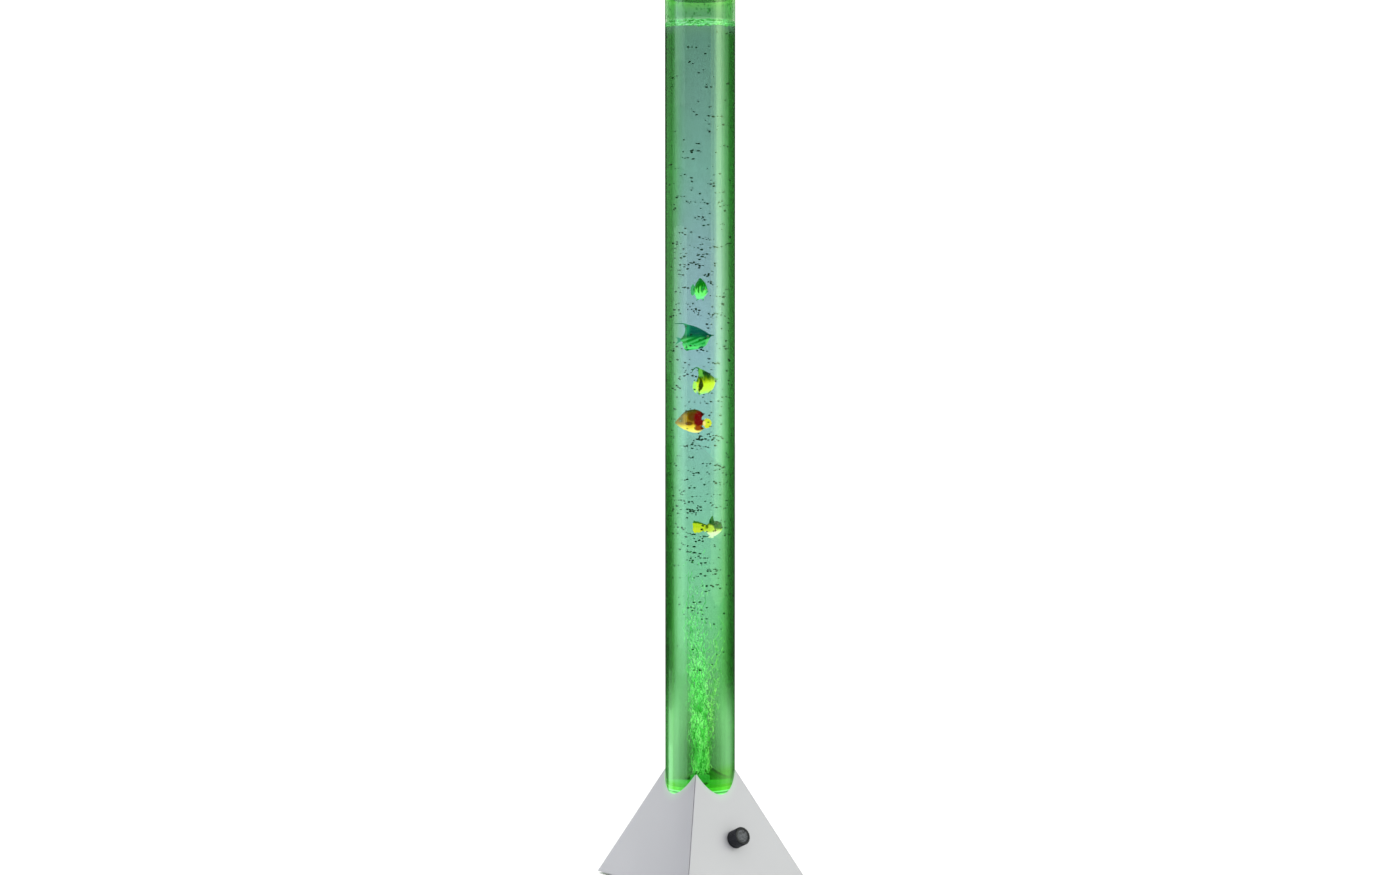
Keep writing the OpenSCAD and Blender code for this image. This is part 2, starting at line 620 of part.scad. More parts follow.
base_cover();
bottom_plate();
rubber_feet();
cover_screws();
weld_nuts();
tube_socket();
socket_screws();
tube_cushion();
clear_tube();
tube_plug();
air_nipple();
nipple_seal();
nipple_nut();
air_stone();
led_carrier();
led_board();
leds();
led_screws();
hose_to_valve();
hose_to_tube();
check_valve();
valve_cradle();
pump_housing();
pump_lid();
pump_mounts();
pump_core();
pump_coil();
pump_lever();
pump_magnet();
pump_diaphragm();
pump_valve_box();
control_board();
board_parts();
board_standoffs();
potentiometer();
pot_nut();
pot_shaft();
control_knob();
dc_jack();
jack_nut();
wire_jack();
wire_pump();
wire_leds();
wire_pot();
lid();
lid_seal();
fish_1();
fish_2();
fish_3();
fish_4();
fish_5();
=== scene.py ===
import math
import random

import bmesh
import bpy
import numpy as np
from mathutils import Matrix, Vector


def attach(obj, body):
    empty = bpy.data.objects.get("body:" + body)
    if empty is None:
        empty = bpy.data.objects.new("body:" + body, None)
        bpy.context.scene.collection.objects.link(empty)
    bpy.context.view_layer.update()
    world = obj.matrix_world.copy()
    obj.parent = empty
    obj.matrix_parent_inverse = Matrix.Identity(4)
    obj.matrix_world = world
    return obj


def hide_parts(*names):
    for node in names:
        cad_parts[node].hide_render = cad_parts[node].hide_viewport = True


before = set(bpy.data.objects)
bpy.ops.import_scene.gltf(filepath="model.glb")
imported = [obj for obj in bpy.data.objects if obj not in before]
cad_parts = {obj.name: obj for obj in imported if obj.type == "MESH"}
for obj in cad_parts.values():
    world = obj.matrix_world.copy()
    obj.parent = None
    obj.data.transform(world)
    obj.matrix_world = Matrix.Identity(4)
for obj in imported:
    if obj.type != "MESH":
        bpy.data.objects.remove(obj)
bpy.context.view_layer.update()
scene = bpy.context.scene
MM = 0.001

# ------------------------------------------------------------------ sizes shared with the CAD model
FOOT_H = 3.0
APEX = 220.0
SLOPE = 100.0 / 217.0
TAU = math.atan(SLOPE)
SHEET_X = 1.5 / math.cos(TAU)
TUBE_R = 47.0
BORE_R = 44.0
TUBE_LO, TUBE_HI = 63.0, 1194.0
PLUG_LO, PLUG_HI = 115.0, 127.0
WATER_HI = 1148.0
CUT_R = 47.4
KNOB_AT = Vector((0.0, -(100.0 - SLOPE * 57.0), FOOT_H + 57.0))
JACK_AT = Vector((0.0, 100.0 - SLOPE * 22.0, FOOT_H + 22.0))
VIEW_AZ = math.radians(38.3)

# ------------------------------------------------------------------ camera, first of all
cam_data = bpy.data.cameras.new("camera")
cam_data.lens = 70.08
cam_data.sensor_width = 36.0
cam_data.clip_start = 0.05
cam_data.clip_end = 100.0
camera = bpy.data.objects.new("camera", cam_data)
scene.collection.objects.link(camera)
camera.location = (-2.2704, -2.8746, 0.7718)
_pitch = 0.0484
_dir = Vector((math.sin(VIEW_AZ) * math.cos(_pitch), math.cos(VIEW_AZ) * math.cos(_pitch), -math.sin(_pitch)))
camera.rotation_mode = "QUATERNION"
camera.rotation_quaternion = _dir.to_track_quat("-Z", "Y")
scene.camera = camera


# ------------------------------------------------------------------ small helpers for meshes
def make(name, verts, faces, scale=MM, matrix=None, smooth=True, sharp=40.0, mats=(), mat_index=None):
    """A mesh object from points in millimetres."""
    me = bpy.data.meshes.new(name)
    pts = [tuple(c * scale for c in v) for v in verts]
    me.from_pydata(pts, [], faces)
    me.validate(clean_customdata=False)
    for m in mats:
        me.materials.append(m)
    if mat_index is not None:
        me.polygons.foreach_set("material_index", mat_index)
    if smooth:
        me.polygons.foreach_set("use_smooth", [True] * len(me.polygons))
        if sharp is not None:
            me.set_sharp_from_angle(angle=math.radians(sharp))
    me.update()
    o = bpy.data.objects.new(name, me)
    scene.collection.objects.link(o)
    if matrix is not None:
        o.matrix_world = matrix
    return o


def outward(o):
    """Turns all faces of a closed mesh outwards."""
    bm = bmesh.new()
    bm.from_mesh(o.data)
    bmesh.ops.recalc_face_normals(bm, faces=bm.faces)
    bm.to_mesh(o.data)
    bm.free()
    o.data.update()
    return o


def revolve(profile, segs, closed=True):
    """Points and faces of a profile (r, z) turned about Z. A point with r = 0 becomes one vertex."""
    verts, rings = [], []
    for r, z in profile:
        if r < 1e-6:
            rings.append([len(verts)])
            verts.append((0.0, 0.0, z))
        else:
            rings.append(list(range(len(verts), len(verts) + segs)))
            for i in range(segs):
                a = 2 * math.pi * i / segs
                verts.append((r * math.cos(a), r * math.sin(a), z))
    faces = []
    n = len(rings)
    for k in range(n if closed else n - 1):
        a, b = rings[k], rings[(k + 1) % n]
        if len(a) == 1 and len(b) == 1:
            continue
        for i in range(segs):
            j = (i + 1) % segs
            if len(a) == 1:
                faces.append((a[0], b[j], b[i]))
            elif len(b) == 1:
                faces.append((a[i], a[j], b[0]))
            else:
                faces.append((a[i], a[j], b[j], b[i]))
    return verts, faces


def arc(cx, cz, r, a0, a1, n):
    """Profile points on an arc, angles in degrees."""
    return [
        (cx + r * math.cos(math.radians(a0 + (a1 - a0) * i / n)), cz + r * math.sin(math.radians(a0 + (a1 - a0) * i / n)))
        for i in range(n + 1)
    ]


def apply_modifiers(o):
    """The mesh as its modifiers leave it, in place of the old one."""
    dg = bpy.context.evaluated_depsgraph_get()
    me = bpy.data.meshes.new_from_object(o.evaluated_get(dg))
    old = o.data
    o.modifiers.clear()
    o.data = me
    bpy.data.meshes.remove(old)
    return o


def cut(o, cutter):
    """Boolean difference, applied. The cutter goes."""
    m = o.modifiers.new("cut", "BOOLEAN")
    m.operation = "DIFFERENCE"
    m.solver = "EXACT"
    m.object = cutter
    bpy.context.view_layer.update()
    apply_modifiers(o)
    bpy.data.objects.remove(cutter)
    return o


def rounded_edges(o, width, segments=2, angle=40.0):
    """Breaks the sharp edges of a mesh."""
    m = o.modifiers.new("edges", "BEVEL")
    m.width = width * MM
    m.segments = segments
    m.limit_method = "ANGLE"
    m.angle_limit = math.radians(angle)
    m.use_clamp_overlap = True
    bpy.context.view_layer.update()
    apply_modifiers(o)
    o.data.polygons.foreach_set("use_smooth", [True] * len(o.data.polygons))
    o.data.set_sharp_from_angle(angle=math.radians(50))
    return o


# ------------------------------------------------------------------ small helpers for materials
class Look:
    """A node material with one Principled shader, and short ways to feed it."""

    def __init__(self, name, **values):
        self.m = bpy.data.materials.new(name)
        self.m.use_nodes = True
        self.nt = self.m.node_tree
        self.nt.nodes.clear()
        self.out = self.nt.nodes.new("ShaderNodeOutputMaterial")
        self.b = self.nt.nodes.new("ShaderNodeBsdfPrincipled")
        self.nt.links.new(self.b.outputs[0], self.out.inputs["Surface"])
        self._coords = None
        for k, v in values.items():
            self.set(k, v)

    def set(self, socket, value):
        names = {
            "color": "Base Color", "metal": "Metallic", "rough": "Roughness", "ior": "IOR", "spec": "Specular IOR Level",
            "tint": "Specular Tint", "trans": "Transmission Weight", "coat": "Coat Weight", "coat_rough": "Coat Roughness",
            "sheen": "Sheen Weight", "glow": "Emission Color", "power": "Emission Strength", "sss": "Subsurface Weight",
            "sss_scale": "Subsurface Scale", "normal": "Normal", "alpha": "Alpha", "aniso": "Anisotropic",
        }
        s = self.b.inputs[names.get(socket, socket)]
        if isinstance(value, bpy.types.NodeSocket):
            self.nt.links.new(value, s)
        elif isinstance(value, (tuple, list)):
            s.default_value = tuple(value) + ((1.0,) if len(value) == 3 and s.type == "RGBA" else ())
        else:
            s.default_value = value
        return self

    def node(self, kind, **props):
        n = self.nt.nodes.new(kind)
        for k, v in props.items():
            setattr(n, k, v)
        return n

    def feed(self, socket, value):
        if isinstance(value, bpy.types.NodeSocket):
            self.nt.links.new(value, socket)
        elif isinstance(value, (tuple, list)) and socket.type == "RGBA" and len(value) == 3:
            socket.default_value = tuple(value) + (1.0,)
        else:
            socket.default_value = value

    @property
    def at(self):
        if self._coords is None:
            self._coords = self.node("ShaderNodeTexCoord").outputs["Object"]
        return self._coords

    def xyz(self, vector=None):
        n = self.node("ShaderNodeSeparateXYZ")
        self.feed(n.inputs[0], self.at if vector is None else vector)
        return n.outputs

    def scaled(self, x, y, z, vector=None):
        n = self.node("ShaderNodeMapping")
        self.feed(n.inputs["Vector"], self.at if vector is None else vector)
        n.inputs["Scale"].default_value = (x, y, z)
        return n.outputs[0]

    def noise(self, scale, detail=3.0, rough=0.55, vector=None, distortion=0.0):
        n = self.node("ShaderNodeTexNoise")
        self.feed(n.inputs["Vector"], self.at if vector is None else vector)
        n.inputs["Scale"].default_value = scale
        n.inputs["Detail"].default_value = detail
        n.inputs["Roughness"].default_value = rough
        n.inputs["Distortion"].default_value = distortion
        return n.outputs["Fac"]

    def cells(self, scale, feature="F1", vector=None, randomness=1.0, out="Distance"):
        n = self.node("ShaderNodeTexVoronoi", feature=feature)
        self.feed(n.inputs["Vector"], self.at if vector is None else vector)
        n.inputs["Scale"].default_value = scale
        n.inputs["Randomness"].default_value = randomness
        return n.outputs[out]

    def wave(self, scale, direction="X", distortion=0.0, detail=2.0, vector=None, kind="BANDS", profile="SIN"):
        n = self.node("ShaderNodeTexWave", wave_type=kind, wave_profile=profile)
        if kind == "BANDS":
            n.bands_direction = direction
        else:
            n.rings_direction = direction
        self.feed(n.inputs["Vector"], self.at if vector is None else vector)
        n.inputs["Scale"].default_value = scale
        n.inputs["Distortion"].default_value = distortion
        n.inputs["Detail"].default_value = detail
        return n.outputs["Fac"]

    def ramp(self, fac, *stops, kind="LINEAR"):
        n = self.node("ShaderNodeValToRGB")
        self.feed(n.inputs[0], fac)
        cr = n.color_ramp
        cr.interpolation = kind
        while len(cr.elements) > 1:
            cr.elements.remove(cr.elements[-1])
        for i, (pos, col) in enumerate(stops):
            e = cr.elements[0] if i == 0 else cr.elements.new(pos)
            e.position = pos
            col = (col, col, col) if isinstance(col, (int, float)) else col
            e.color = tuple(col) + ((1.0,) if len(col) == 3 else ())
        return n.outputs[0]

    def span(self, value, a, b, c=0.0, d=1.0, smooth=False):
        n = self.node("ShaderNodeMapRange")
        n.interpolation_type = "SMOOTHSTEP" if smooth else "LINEAR"
        self.feed(n.inputs["Value"], value)
        for k, v in zip(("From Min", "From Max", "To Min", "To Max"), (a, b, c, d)):
            n.inputs[k].default_value = v
        return n.outputs["Result"]

    def mix(self, fac, a, b, kind="MIX"):
        n = self.node("ShaderNodeMix", data_type="RGBA", blend_type=kind)
        self.feed(n.inputs[0], fac)
        self.feed(n.inputs[6], a)
        self.feed(n.inputs[7], b)
        return n.outputs[2]

    def math(self, op, a, b=0.0, c=None, clamp=False):
        n = self.node("ShaderNodeMath", operation=op)
        n.use_clamp = clamp
        self.feed(n.inputs[0], a)
        self.feed(n.inputs[1], b)
        if c is not None:
            self.feed(n.inputs[2], c)
        return n.outputs[0]

    def bump(self, height, strength=0.3, distance=0.0005, normal=None):
        n = self.node("ShaderNodeBump")
        self.feed(n.inputs["Height"], height)
        n.inputs["Strength"].default_value = strength
        n.inputs["Distance"].default_value = distance
        if normal is not None:
            self.feed(n.inputs["Normal"], normal)
        return n.outputs[0]

    def facing(self):
        n = self.node("ShaderNodeLayerWeight")
        n.inputs["Blend"].default_value = 0.5
        return n.outputs["Facing"]


def lin(r, g, b):
    """A colour given as it looks on screen, in 0 to 255, as linear light."""
    def f(c):
        c = c / 255.0
        return c / 12.92 if c <= 0.04045 else ((c + 0.055) / 1.055) ** 2.4
    return (f(r), f(g), f(b))


LOOKS = {}


def plastic(name, color, rough=0.45, grain=1400.0, depth=0.25, vary=0.08, blotch=45.0, sss=0.0, coat=0.0):
    """Moulded plastic: fine grain, faint flow marks, slightly uneven gloss."""
    k = Look(name, rough=rough)
    flow = k.noise(blotch, 4.0, 0.6)
    dark = tuple(c * (1 - vary) for c in color)
    light = tuple(min(1.0, c * (1 + vary)) for c in color)
    k.set("color", k.ramp(flow, (0.3, dark), (0.7, light)))
    grainy = k.noise(grain, 2.0, 0.7)
    k.set("rough", k.math("ADD", k.span(flow, 0.3, 0.7, rough - 0.05, rough + 0.06), k.span(grainy, 0.2, 0.8, -0.03, 0.03)))
    k.set("normal", k.bump(grainy, depth, 0.00012))
    if sss:
        k.set("sss", sss).set("sss_scale", 0.002)
    if coat:
        k.set("coat", coat).set("coat_rough", 0.15)
    return k.m


def metal(name, color, rough=0.32, vary=0.12, brush=None, grain=600.0):
    """Bare or plated metal with smudges, and brushing if asked."""
    k = Look(name, metal=1.0)
    smudge = k.noise(60.0, 5.0, 0.65)
    dark = tuple(c * (1 - vary) for c in color)
    k.set("color", k.ramp(smudge, (0.3, dark), (0.72, color)))
    fine = k.noise(grain, 3.0, 0.6, vector=k.scaled(*brush) if brush else None)
    k.set("rough", k.math("ADD", k.span(smudge, 0.25, 0.75, rough - 0.08, rough + 0.1), k.span(fine, 0.2, 0.8, -0.05, 0.05)))
    k.set("normal", k.bump(fine, 0.2, 0.0001))
    return k.m


def rubber(name, color, rough=0.78):
    k = Look(name)
    dust = k.noise(90.0, 5.0, 0.7)
    spots = k.cells(1600.0)
    k.set("color", k.ramp(dust, (0.35, color), (0.8, tuple(c * 1.7 + 0.006 for c in color))))
    k.set("rough", k.span(dust, 0.2, 0.8, rough - 0.06, rough + 0.1))
    k.set("normal", k.bump(spots, 0.35, 0.00015))
    k.set("sheen", 0.15)
    return k.m


# ------------------------------------------------------------------ materials of the record's slots
def paint(name="powder_coat", tone=1.0, inside=False):
    """Light grey powder coat: fine orange peel, a trace of dust low down, edges a little worn and lighter, which is
    also a painted highlight, painted shade beside the front and back creases, and a painted green glow from the tube's
    light.
    """
    k = Look(name)
    peel = k.noise(620.0, 2.0, 0.45)
    fine = k.noise(2600.0, 2.0, 0.6)
    cloud = k.noise(9.0, 3.0, 0.5)
    base = k.ramp(cloud, (0.3, tuple(tone * c for c in (0.352, 0.356, 0.371))), (0.7, tuple(tone * c for c in (0.368, 0.371, 0.385))))
    x, y, z = k.xyz()
    # painted shade: a soft darkening beside the front and back creases, stronger on one side of each
    away = k.math("SUBTRACT", y, x)
    shade = k.ramp(k.span(away, -0.05, 0.08), (0.0, (1.0, 1.0, 1.0)), (0.375, (0.97, 0.97, 0.97)), (0.40, (0.88, 0.88, 0.89)), (0.7, (0.96, 0.96, 0.965)), (1.0, (1.0, 1.0, 1.0)))
    base = k.mix(1.0, base, shade, "MULTIPLY")
    speck = k.ramp(k.cells(420.0), (0.0, 0.93), (0.10, 1.0))
    base = k.mix(0.35, base, speck, "MULTIPLY")
    z = k.xyz()[2]
    dust = k.math("MULTIPLY", k.span(z, 0.016, 0.003, smooth=True), k.span(k.noise(70.0, 5.0, 0.7), 0.4, 0.75))
    base = k.mix(k.math("MULTIPLY", dust, 0.18), base, (0.33, 0.32, 0.30))
    point = k.node("ShaderNodeNewGeometry").outputs["Pointiness"]
    # lighter on sharp edges: worn paint, and also a painted highlight on the bends
    wear_and_edge_highlight = k.span(point, 0.53, 0.60, 0.0, 0.35)
    base = k.mix(wear_and_edge_highlight, base, (0.60, 0.60, 0.61))
    k.set("color", base)
    k.set("rough", k.math("ADD", k.span(cloud, 0.3, 0.7, 0.40, 0.47), k.span(fine, 0.3, 0.7, -0.02, 0.02)))
    height = k.math("ADD", k.math("MULTIPLY", peel, 0.8), k.math("MULTIPLY", fine, 0.25))
    k.set("normal", k.bump(height, 0.16, 0.00018))
    k.set("spec", 0.45)
    if inside:
        # painted glow: the inner face is given green light by height, standing for the light that leaves the tube's
        # foot
        k.set("glow", k.ramp(k.span(z, 0.08, 0.15), (0.0, (0.05, 0.55, 0.03)), (0.55, (0.22, 0.95, 0.10)), (0.85, (0.16, 0.55, 0.06)), (1.0, (0.04, 0.20, 0.03))))
        k.set("power", 0.9)
    else:
        # painted glow: a breath of the tube's light on the paint next to the cut-out
        radius = k.math("SQRT", k.math("ADD", k.math("MULTIPLY", x, x), k.math("MULTIPLY", y, y)))
        near = k.span(radius, 0.0540, 0.0472)
        k.set("glow", (0.10, 0.75, 0.12))
        k.set("power", k.math("MULTIPLY", k.math("MULTIPLY", near, near), 0.16))
    return k.m


def laminated():
    k = Look("core_iron", metal=1.0)
    sheets = k.wave(330.0, "Z", 0.6)
    rust = k.noise(160.0, 5.0, 0.7)
    k.set("color", k.mix(k.span(rust, 0.55, 0.8), k.ramp(sheets, (0.2, (0.16, 0.155, 0.15)), (0.8, (0.42, 0.41, 0.40))), (0.24, 0.13, 0.08)))
    k.set("rough", k.span(rust, 0.2, 0.8, 0.35, 0.6))
    k.set("normal", k.bump(sheets, 0.6, 0.0002))
    return k.m


def windings():
    k = Look("coil_copper", metal=0.9)
    turns = k.wave(700.0, "Z", 1.2)
    k.set("color", k.ramp(turns, (0.1, (0.20, 0.06, 0.02)), (0.7, (0.75, 0.33, 0.14))))
    k.set("rough", k.span(turns, 0.0, 1.0, 0.5, 0.25))
    k.set("normal", k.bump(turns, 0.8, 0.0002))
    k.set("coat", 0.6).set("coat_rough", 0.12)
    return k.m


def circuit():
    k = Look("board_green")
    weave = k.noise(900.0, 2.0, 0.5)
    lanes = k.cells(260.0, "DISTANCE_TO_EDGE", randomness=0.55)
    track = k.ramp(lanes, (0.0, 1.0), (0.055, 1.0), (0.075, 0.0))
    k.set("color", k.mix(track, k.ramp(weave, (0.3, (0.008, 0.085, 0.03)), (0.7, (0.012, 0.12, 0.045))), (0.03, 0.22, 0.09)))
    k.set("rough", k.span(weave, 0.2, 0.8, 0.26, 0.38))
    k.set("normal", k.bump(track, 0.25, 0.00006))
    k.set("coat", 0.3).set("coat_rough", 0.1)
    return k.m


def sintered():
    """Air stone: bonded mineral grains."""
    k = Look("bubble_stone")
    grains = k.cells(900.0)
    tone = k.noise(140.0, 4.0, 0.7)
    k.set("color", k.mix(k.span(grains, 0.0, 0.6), k.ramp(tone, (0.3, (0.20, 0.27, 0.30)), (0.7, (0.42, 0.50, 0.52))), (0.10, 0.14, 0.15)))
    k.set("rough", k.span(tone, 0.2, 0.8, 0.75, 0.95))
    k.set("normal", k.bump(grains, 0.9, 0.0005))
    # painted glow for the lamp's green light round the stone
    k.set("glow", (0.10, 0.75, 0.10)).set("power", 0.9)
    return k.m


def lamp_chip():
    k = Look("light_chip", rough=0.3)
    dome = k.noise(500.0, 3.0, 0.5)
    k.set("color", k.ramp(dome, (0.2, (0.75, 0.78, 0.35)), (0.8, (0.92, 0.93, 0.55))))
    k.set("glow", k.ramp(dome, (0.2, (0.10, 0.9, 0.12)), (0.8, (0.22, 1.0, 0.2))))
    k.set("power", 6.0)
    k.set("normal", k.bump(dome, 0.2, 0.0001))
    return k.m


def brushed():
    k = Look("shaft_aluminium", metal=1.0)
    lines = k.noise(380.0, 3.0, 0.7, vector=k.scaled(1.0, 0.08, 1.0))
    k.set("color", k.ramp(lines, (0.3, (0.62, 0.63, 0.64)), (0.7, (0.80, 0.81, 0.82))))
    k.set("rough", k.span(lines, 0.2, 0.8, 0.22, 0.36))
    k.set("normal", k.bump(lines, 0.3, 0.0001))
    return k.m


def hose_look():
    k = Look("silicone_hose", rough=0.32)
    milk = k.noise(120.0, 4.0, 0.6)
    k.set("color", k.ramp(milk, (0.3, (0.62, 0.70, 0.66)), (0.7, (0.78, 0.84, 0.80))))
    k.set("rough", k.span(milk, 0.2, 0.8, 0.26, 0.42))
    k.set("sss", 0.25).set("sss_scale", 0.002)
    k.set("normal", k.bump(k.noise(700.0), 0.15, 0.0001))
    return k.m


def board_mask():
    k = Look("board_white", rough=0.35)
    weave = k.wave(900.0, "X", 0.0)
    tone = k.noise(120.0, 3.0, 0.5)
    k.set("color", k.ramp(tone, (0.3, (0.70, 0.73, 0.70)), (0.7, (0.80, 0.83, 0.80))))
    k.set("rough", k.span(tone, 0.2, 0.8, 0.28, 0.42))
    k.set("normal", k.bump(weave, 0.1, 0.00005))
    # painted glow for the LEDs' green light on the board
    k.set("glow", (0.08, 0.8, 0.1)).set("power", 0.5)
    return k.m


LOOKS["painted_sheet"] = paint()
# the seam's copy of the coat, at 0.30 tone: painted shade in the groove
PAINT_SEAM_SHADE = paint("powder_coat_seam_shade", 0.30)
# the copy at 1.12 tone for the edge beside the seam: a painted highlight
PAINT_EDGE_HIGHLIGHT = paint("powder_coat_edge_highlight", 1.12)
# the inner face: the coat at 0.9 tone, with its painted green glow
PAINT_INSIDE = paint("powder_coat_inside", 0.9, inside=True)
LOOKS["dark_plate"] = plastic("dark_plate", (0.075, 0.077, 0.08), rough=0.5, grain=800.0, depth=0.5, vary=0.12)
LOOKS["rubber_black"] = rubber("rubber_black", (0.012, 0.012, 0.013))
LOOKS["zinc_steel"] = metal("zinc_steel", (0.66, 0.66, 0.63), 0.34)
LOOKS["abs_black"] = plastic("abs_black", (0.02, 0.02, 0.022), rough=0.5, grain=1000.0, depth=0.6, vary=0.2)
LOOKS["nylon"] = plastic("nylon", (0.62, 0.62, 0.56), rough=0.4, sss=0.2)
LOOKS["bubble_stone"] = sintered()
LOOKS["white_plastic"] = plastic("white_plastic", (0.76, 0.76, 0.74), rough=0.42, sss=0.1)
LOOKS["board_white"] = board_mask()
LOOKS["light_chip"] = lamp_chip()
LOOKS["silicone_hose"] = hose_look()
LOOKS["valve_blue"] = plastic("valve_blue", (0.03, 0.09, 0.30), rough=0.35)
LOOKS["pump_grey"] = plastic("pump_grey", (0.05, 0.057, 0.066), rough=0.48, depth=0.5)
LOOKS["core_iron"] = laminated()
LOOKS["coil_copper"] = windings()
LOOKS["magnet_dark"] = metal("magnet_dark", (0.22, 0.22, 0.24), 0.4)
LOOKS["board_green"] = circuit()
LOOKS["parts_black"] = plastic("parts_black", (0.014, 0.014, 0.016), rough=0.42, grain=900.0, depth=0.4, vary=0.25)
LOOKS["standoff_brass"] = metal("standoff_brass", (0.72, 0.53, 0.24), 0.3)
LOOKS["shaft_aluminium"] = brushed()
LOOKS["wire_black"] = plastic("wire_black", (0.012, 0.012, 0.013), rough=0.45)
LOOKS["wire_white"] = plastic("wire_white", (0.66, 0.66, 0.63), rough=0.45)
LOOKS["lid_grey"] = plastic("lid_grey", (0.47, 0.475, 0.487), rough=0.4, grain=1100.0, depth=0.45, vary=0.03)


def knob_look():
    """Black moulded knob: satin, fine grain, turning rings in the dish. The dish is painted lighter than the sides, in
    streaks, as a painted highlight, and darker towards its rim.
    """
    k = Look("knob_black")
    grain = k.noise(1500.0, 2.0, 0.7)
    tone = k.noise(220.0, 4.0, 0.65)
    side = k.ramp(tone, (0.3, (0.002, 0.003, 0.006)), (0.75, (0.008, 0.010, 0.016)))
    x, y, z = k.xyz()
    radius = k.math("SQRT", k.math("ADD", k.math("MULTIPLY", x, x), k.math("MULTIPLY", y, y)))
    # painted highlight: light streaks in the dish, darkened towards its rim
    sheen_streaks = k.noise(420.0, 4.0, 0.75)
    dish = k.ramp(sheen_streaks, (0.36, (0.012, 0.013, 0.017)), (0.50, (0.050, 0.054, 0.064)), (0.66, (0.105, 0.110, 0.128)))
    dish = k.mix(k.span(radius, 0.0068, 0.0096), dish, (0.007, 0.008, 0.011))
    k.set("color", k.mix(k.span(z, 0.0172, 0.0186), side, dish))
    rings = k.math("SINE", k.math("MULTIPLY", radius, 9000.0))
    on_top = k.math("GREATER_THAN", z, 0.0182)
    k.set("rough", k.math("ADD", k.span(tone, 0.2, 0.8, 0.36, 0.50), k.span(grain, 0.2, 0.8, -0.03, 0.03)))
    height = k.math("ADD", grain, k.math("MULTIPLY", k.math("MULTIPLY", rings, on_top), 0.5))
    k.set("normal", k.bump(height, 0.4, 0.00012))
    k.set("spec", 0.38)
    return k.m


LOOKS["knob_black"] = knob_look()

# Levels on the tube, in metres, that the clear parts' colours change at
Z_PLUG = PLUG_HI * MM
Z_WATER = WATER_HI * MM


def by_height(k, *rows, kind="LINEAR"):
    """A colour that changes with height. rows: (height in mm, colour)."""
    return k.ramp(k.span(k.xyz()[2], 0.0, 1.2), *[(z / 1200.0, c) for z, c in rows], kind=kind)


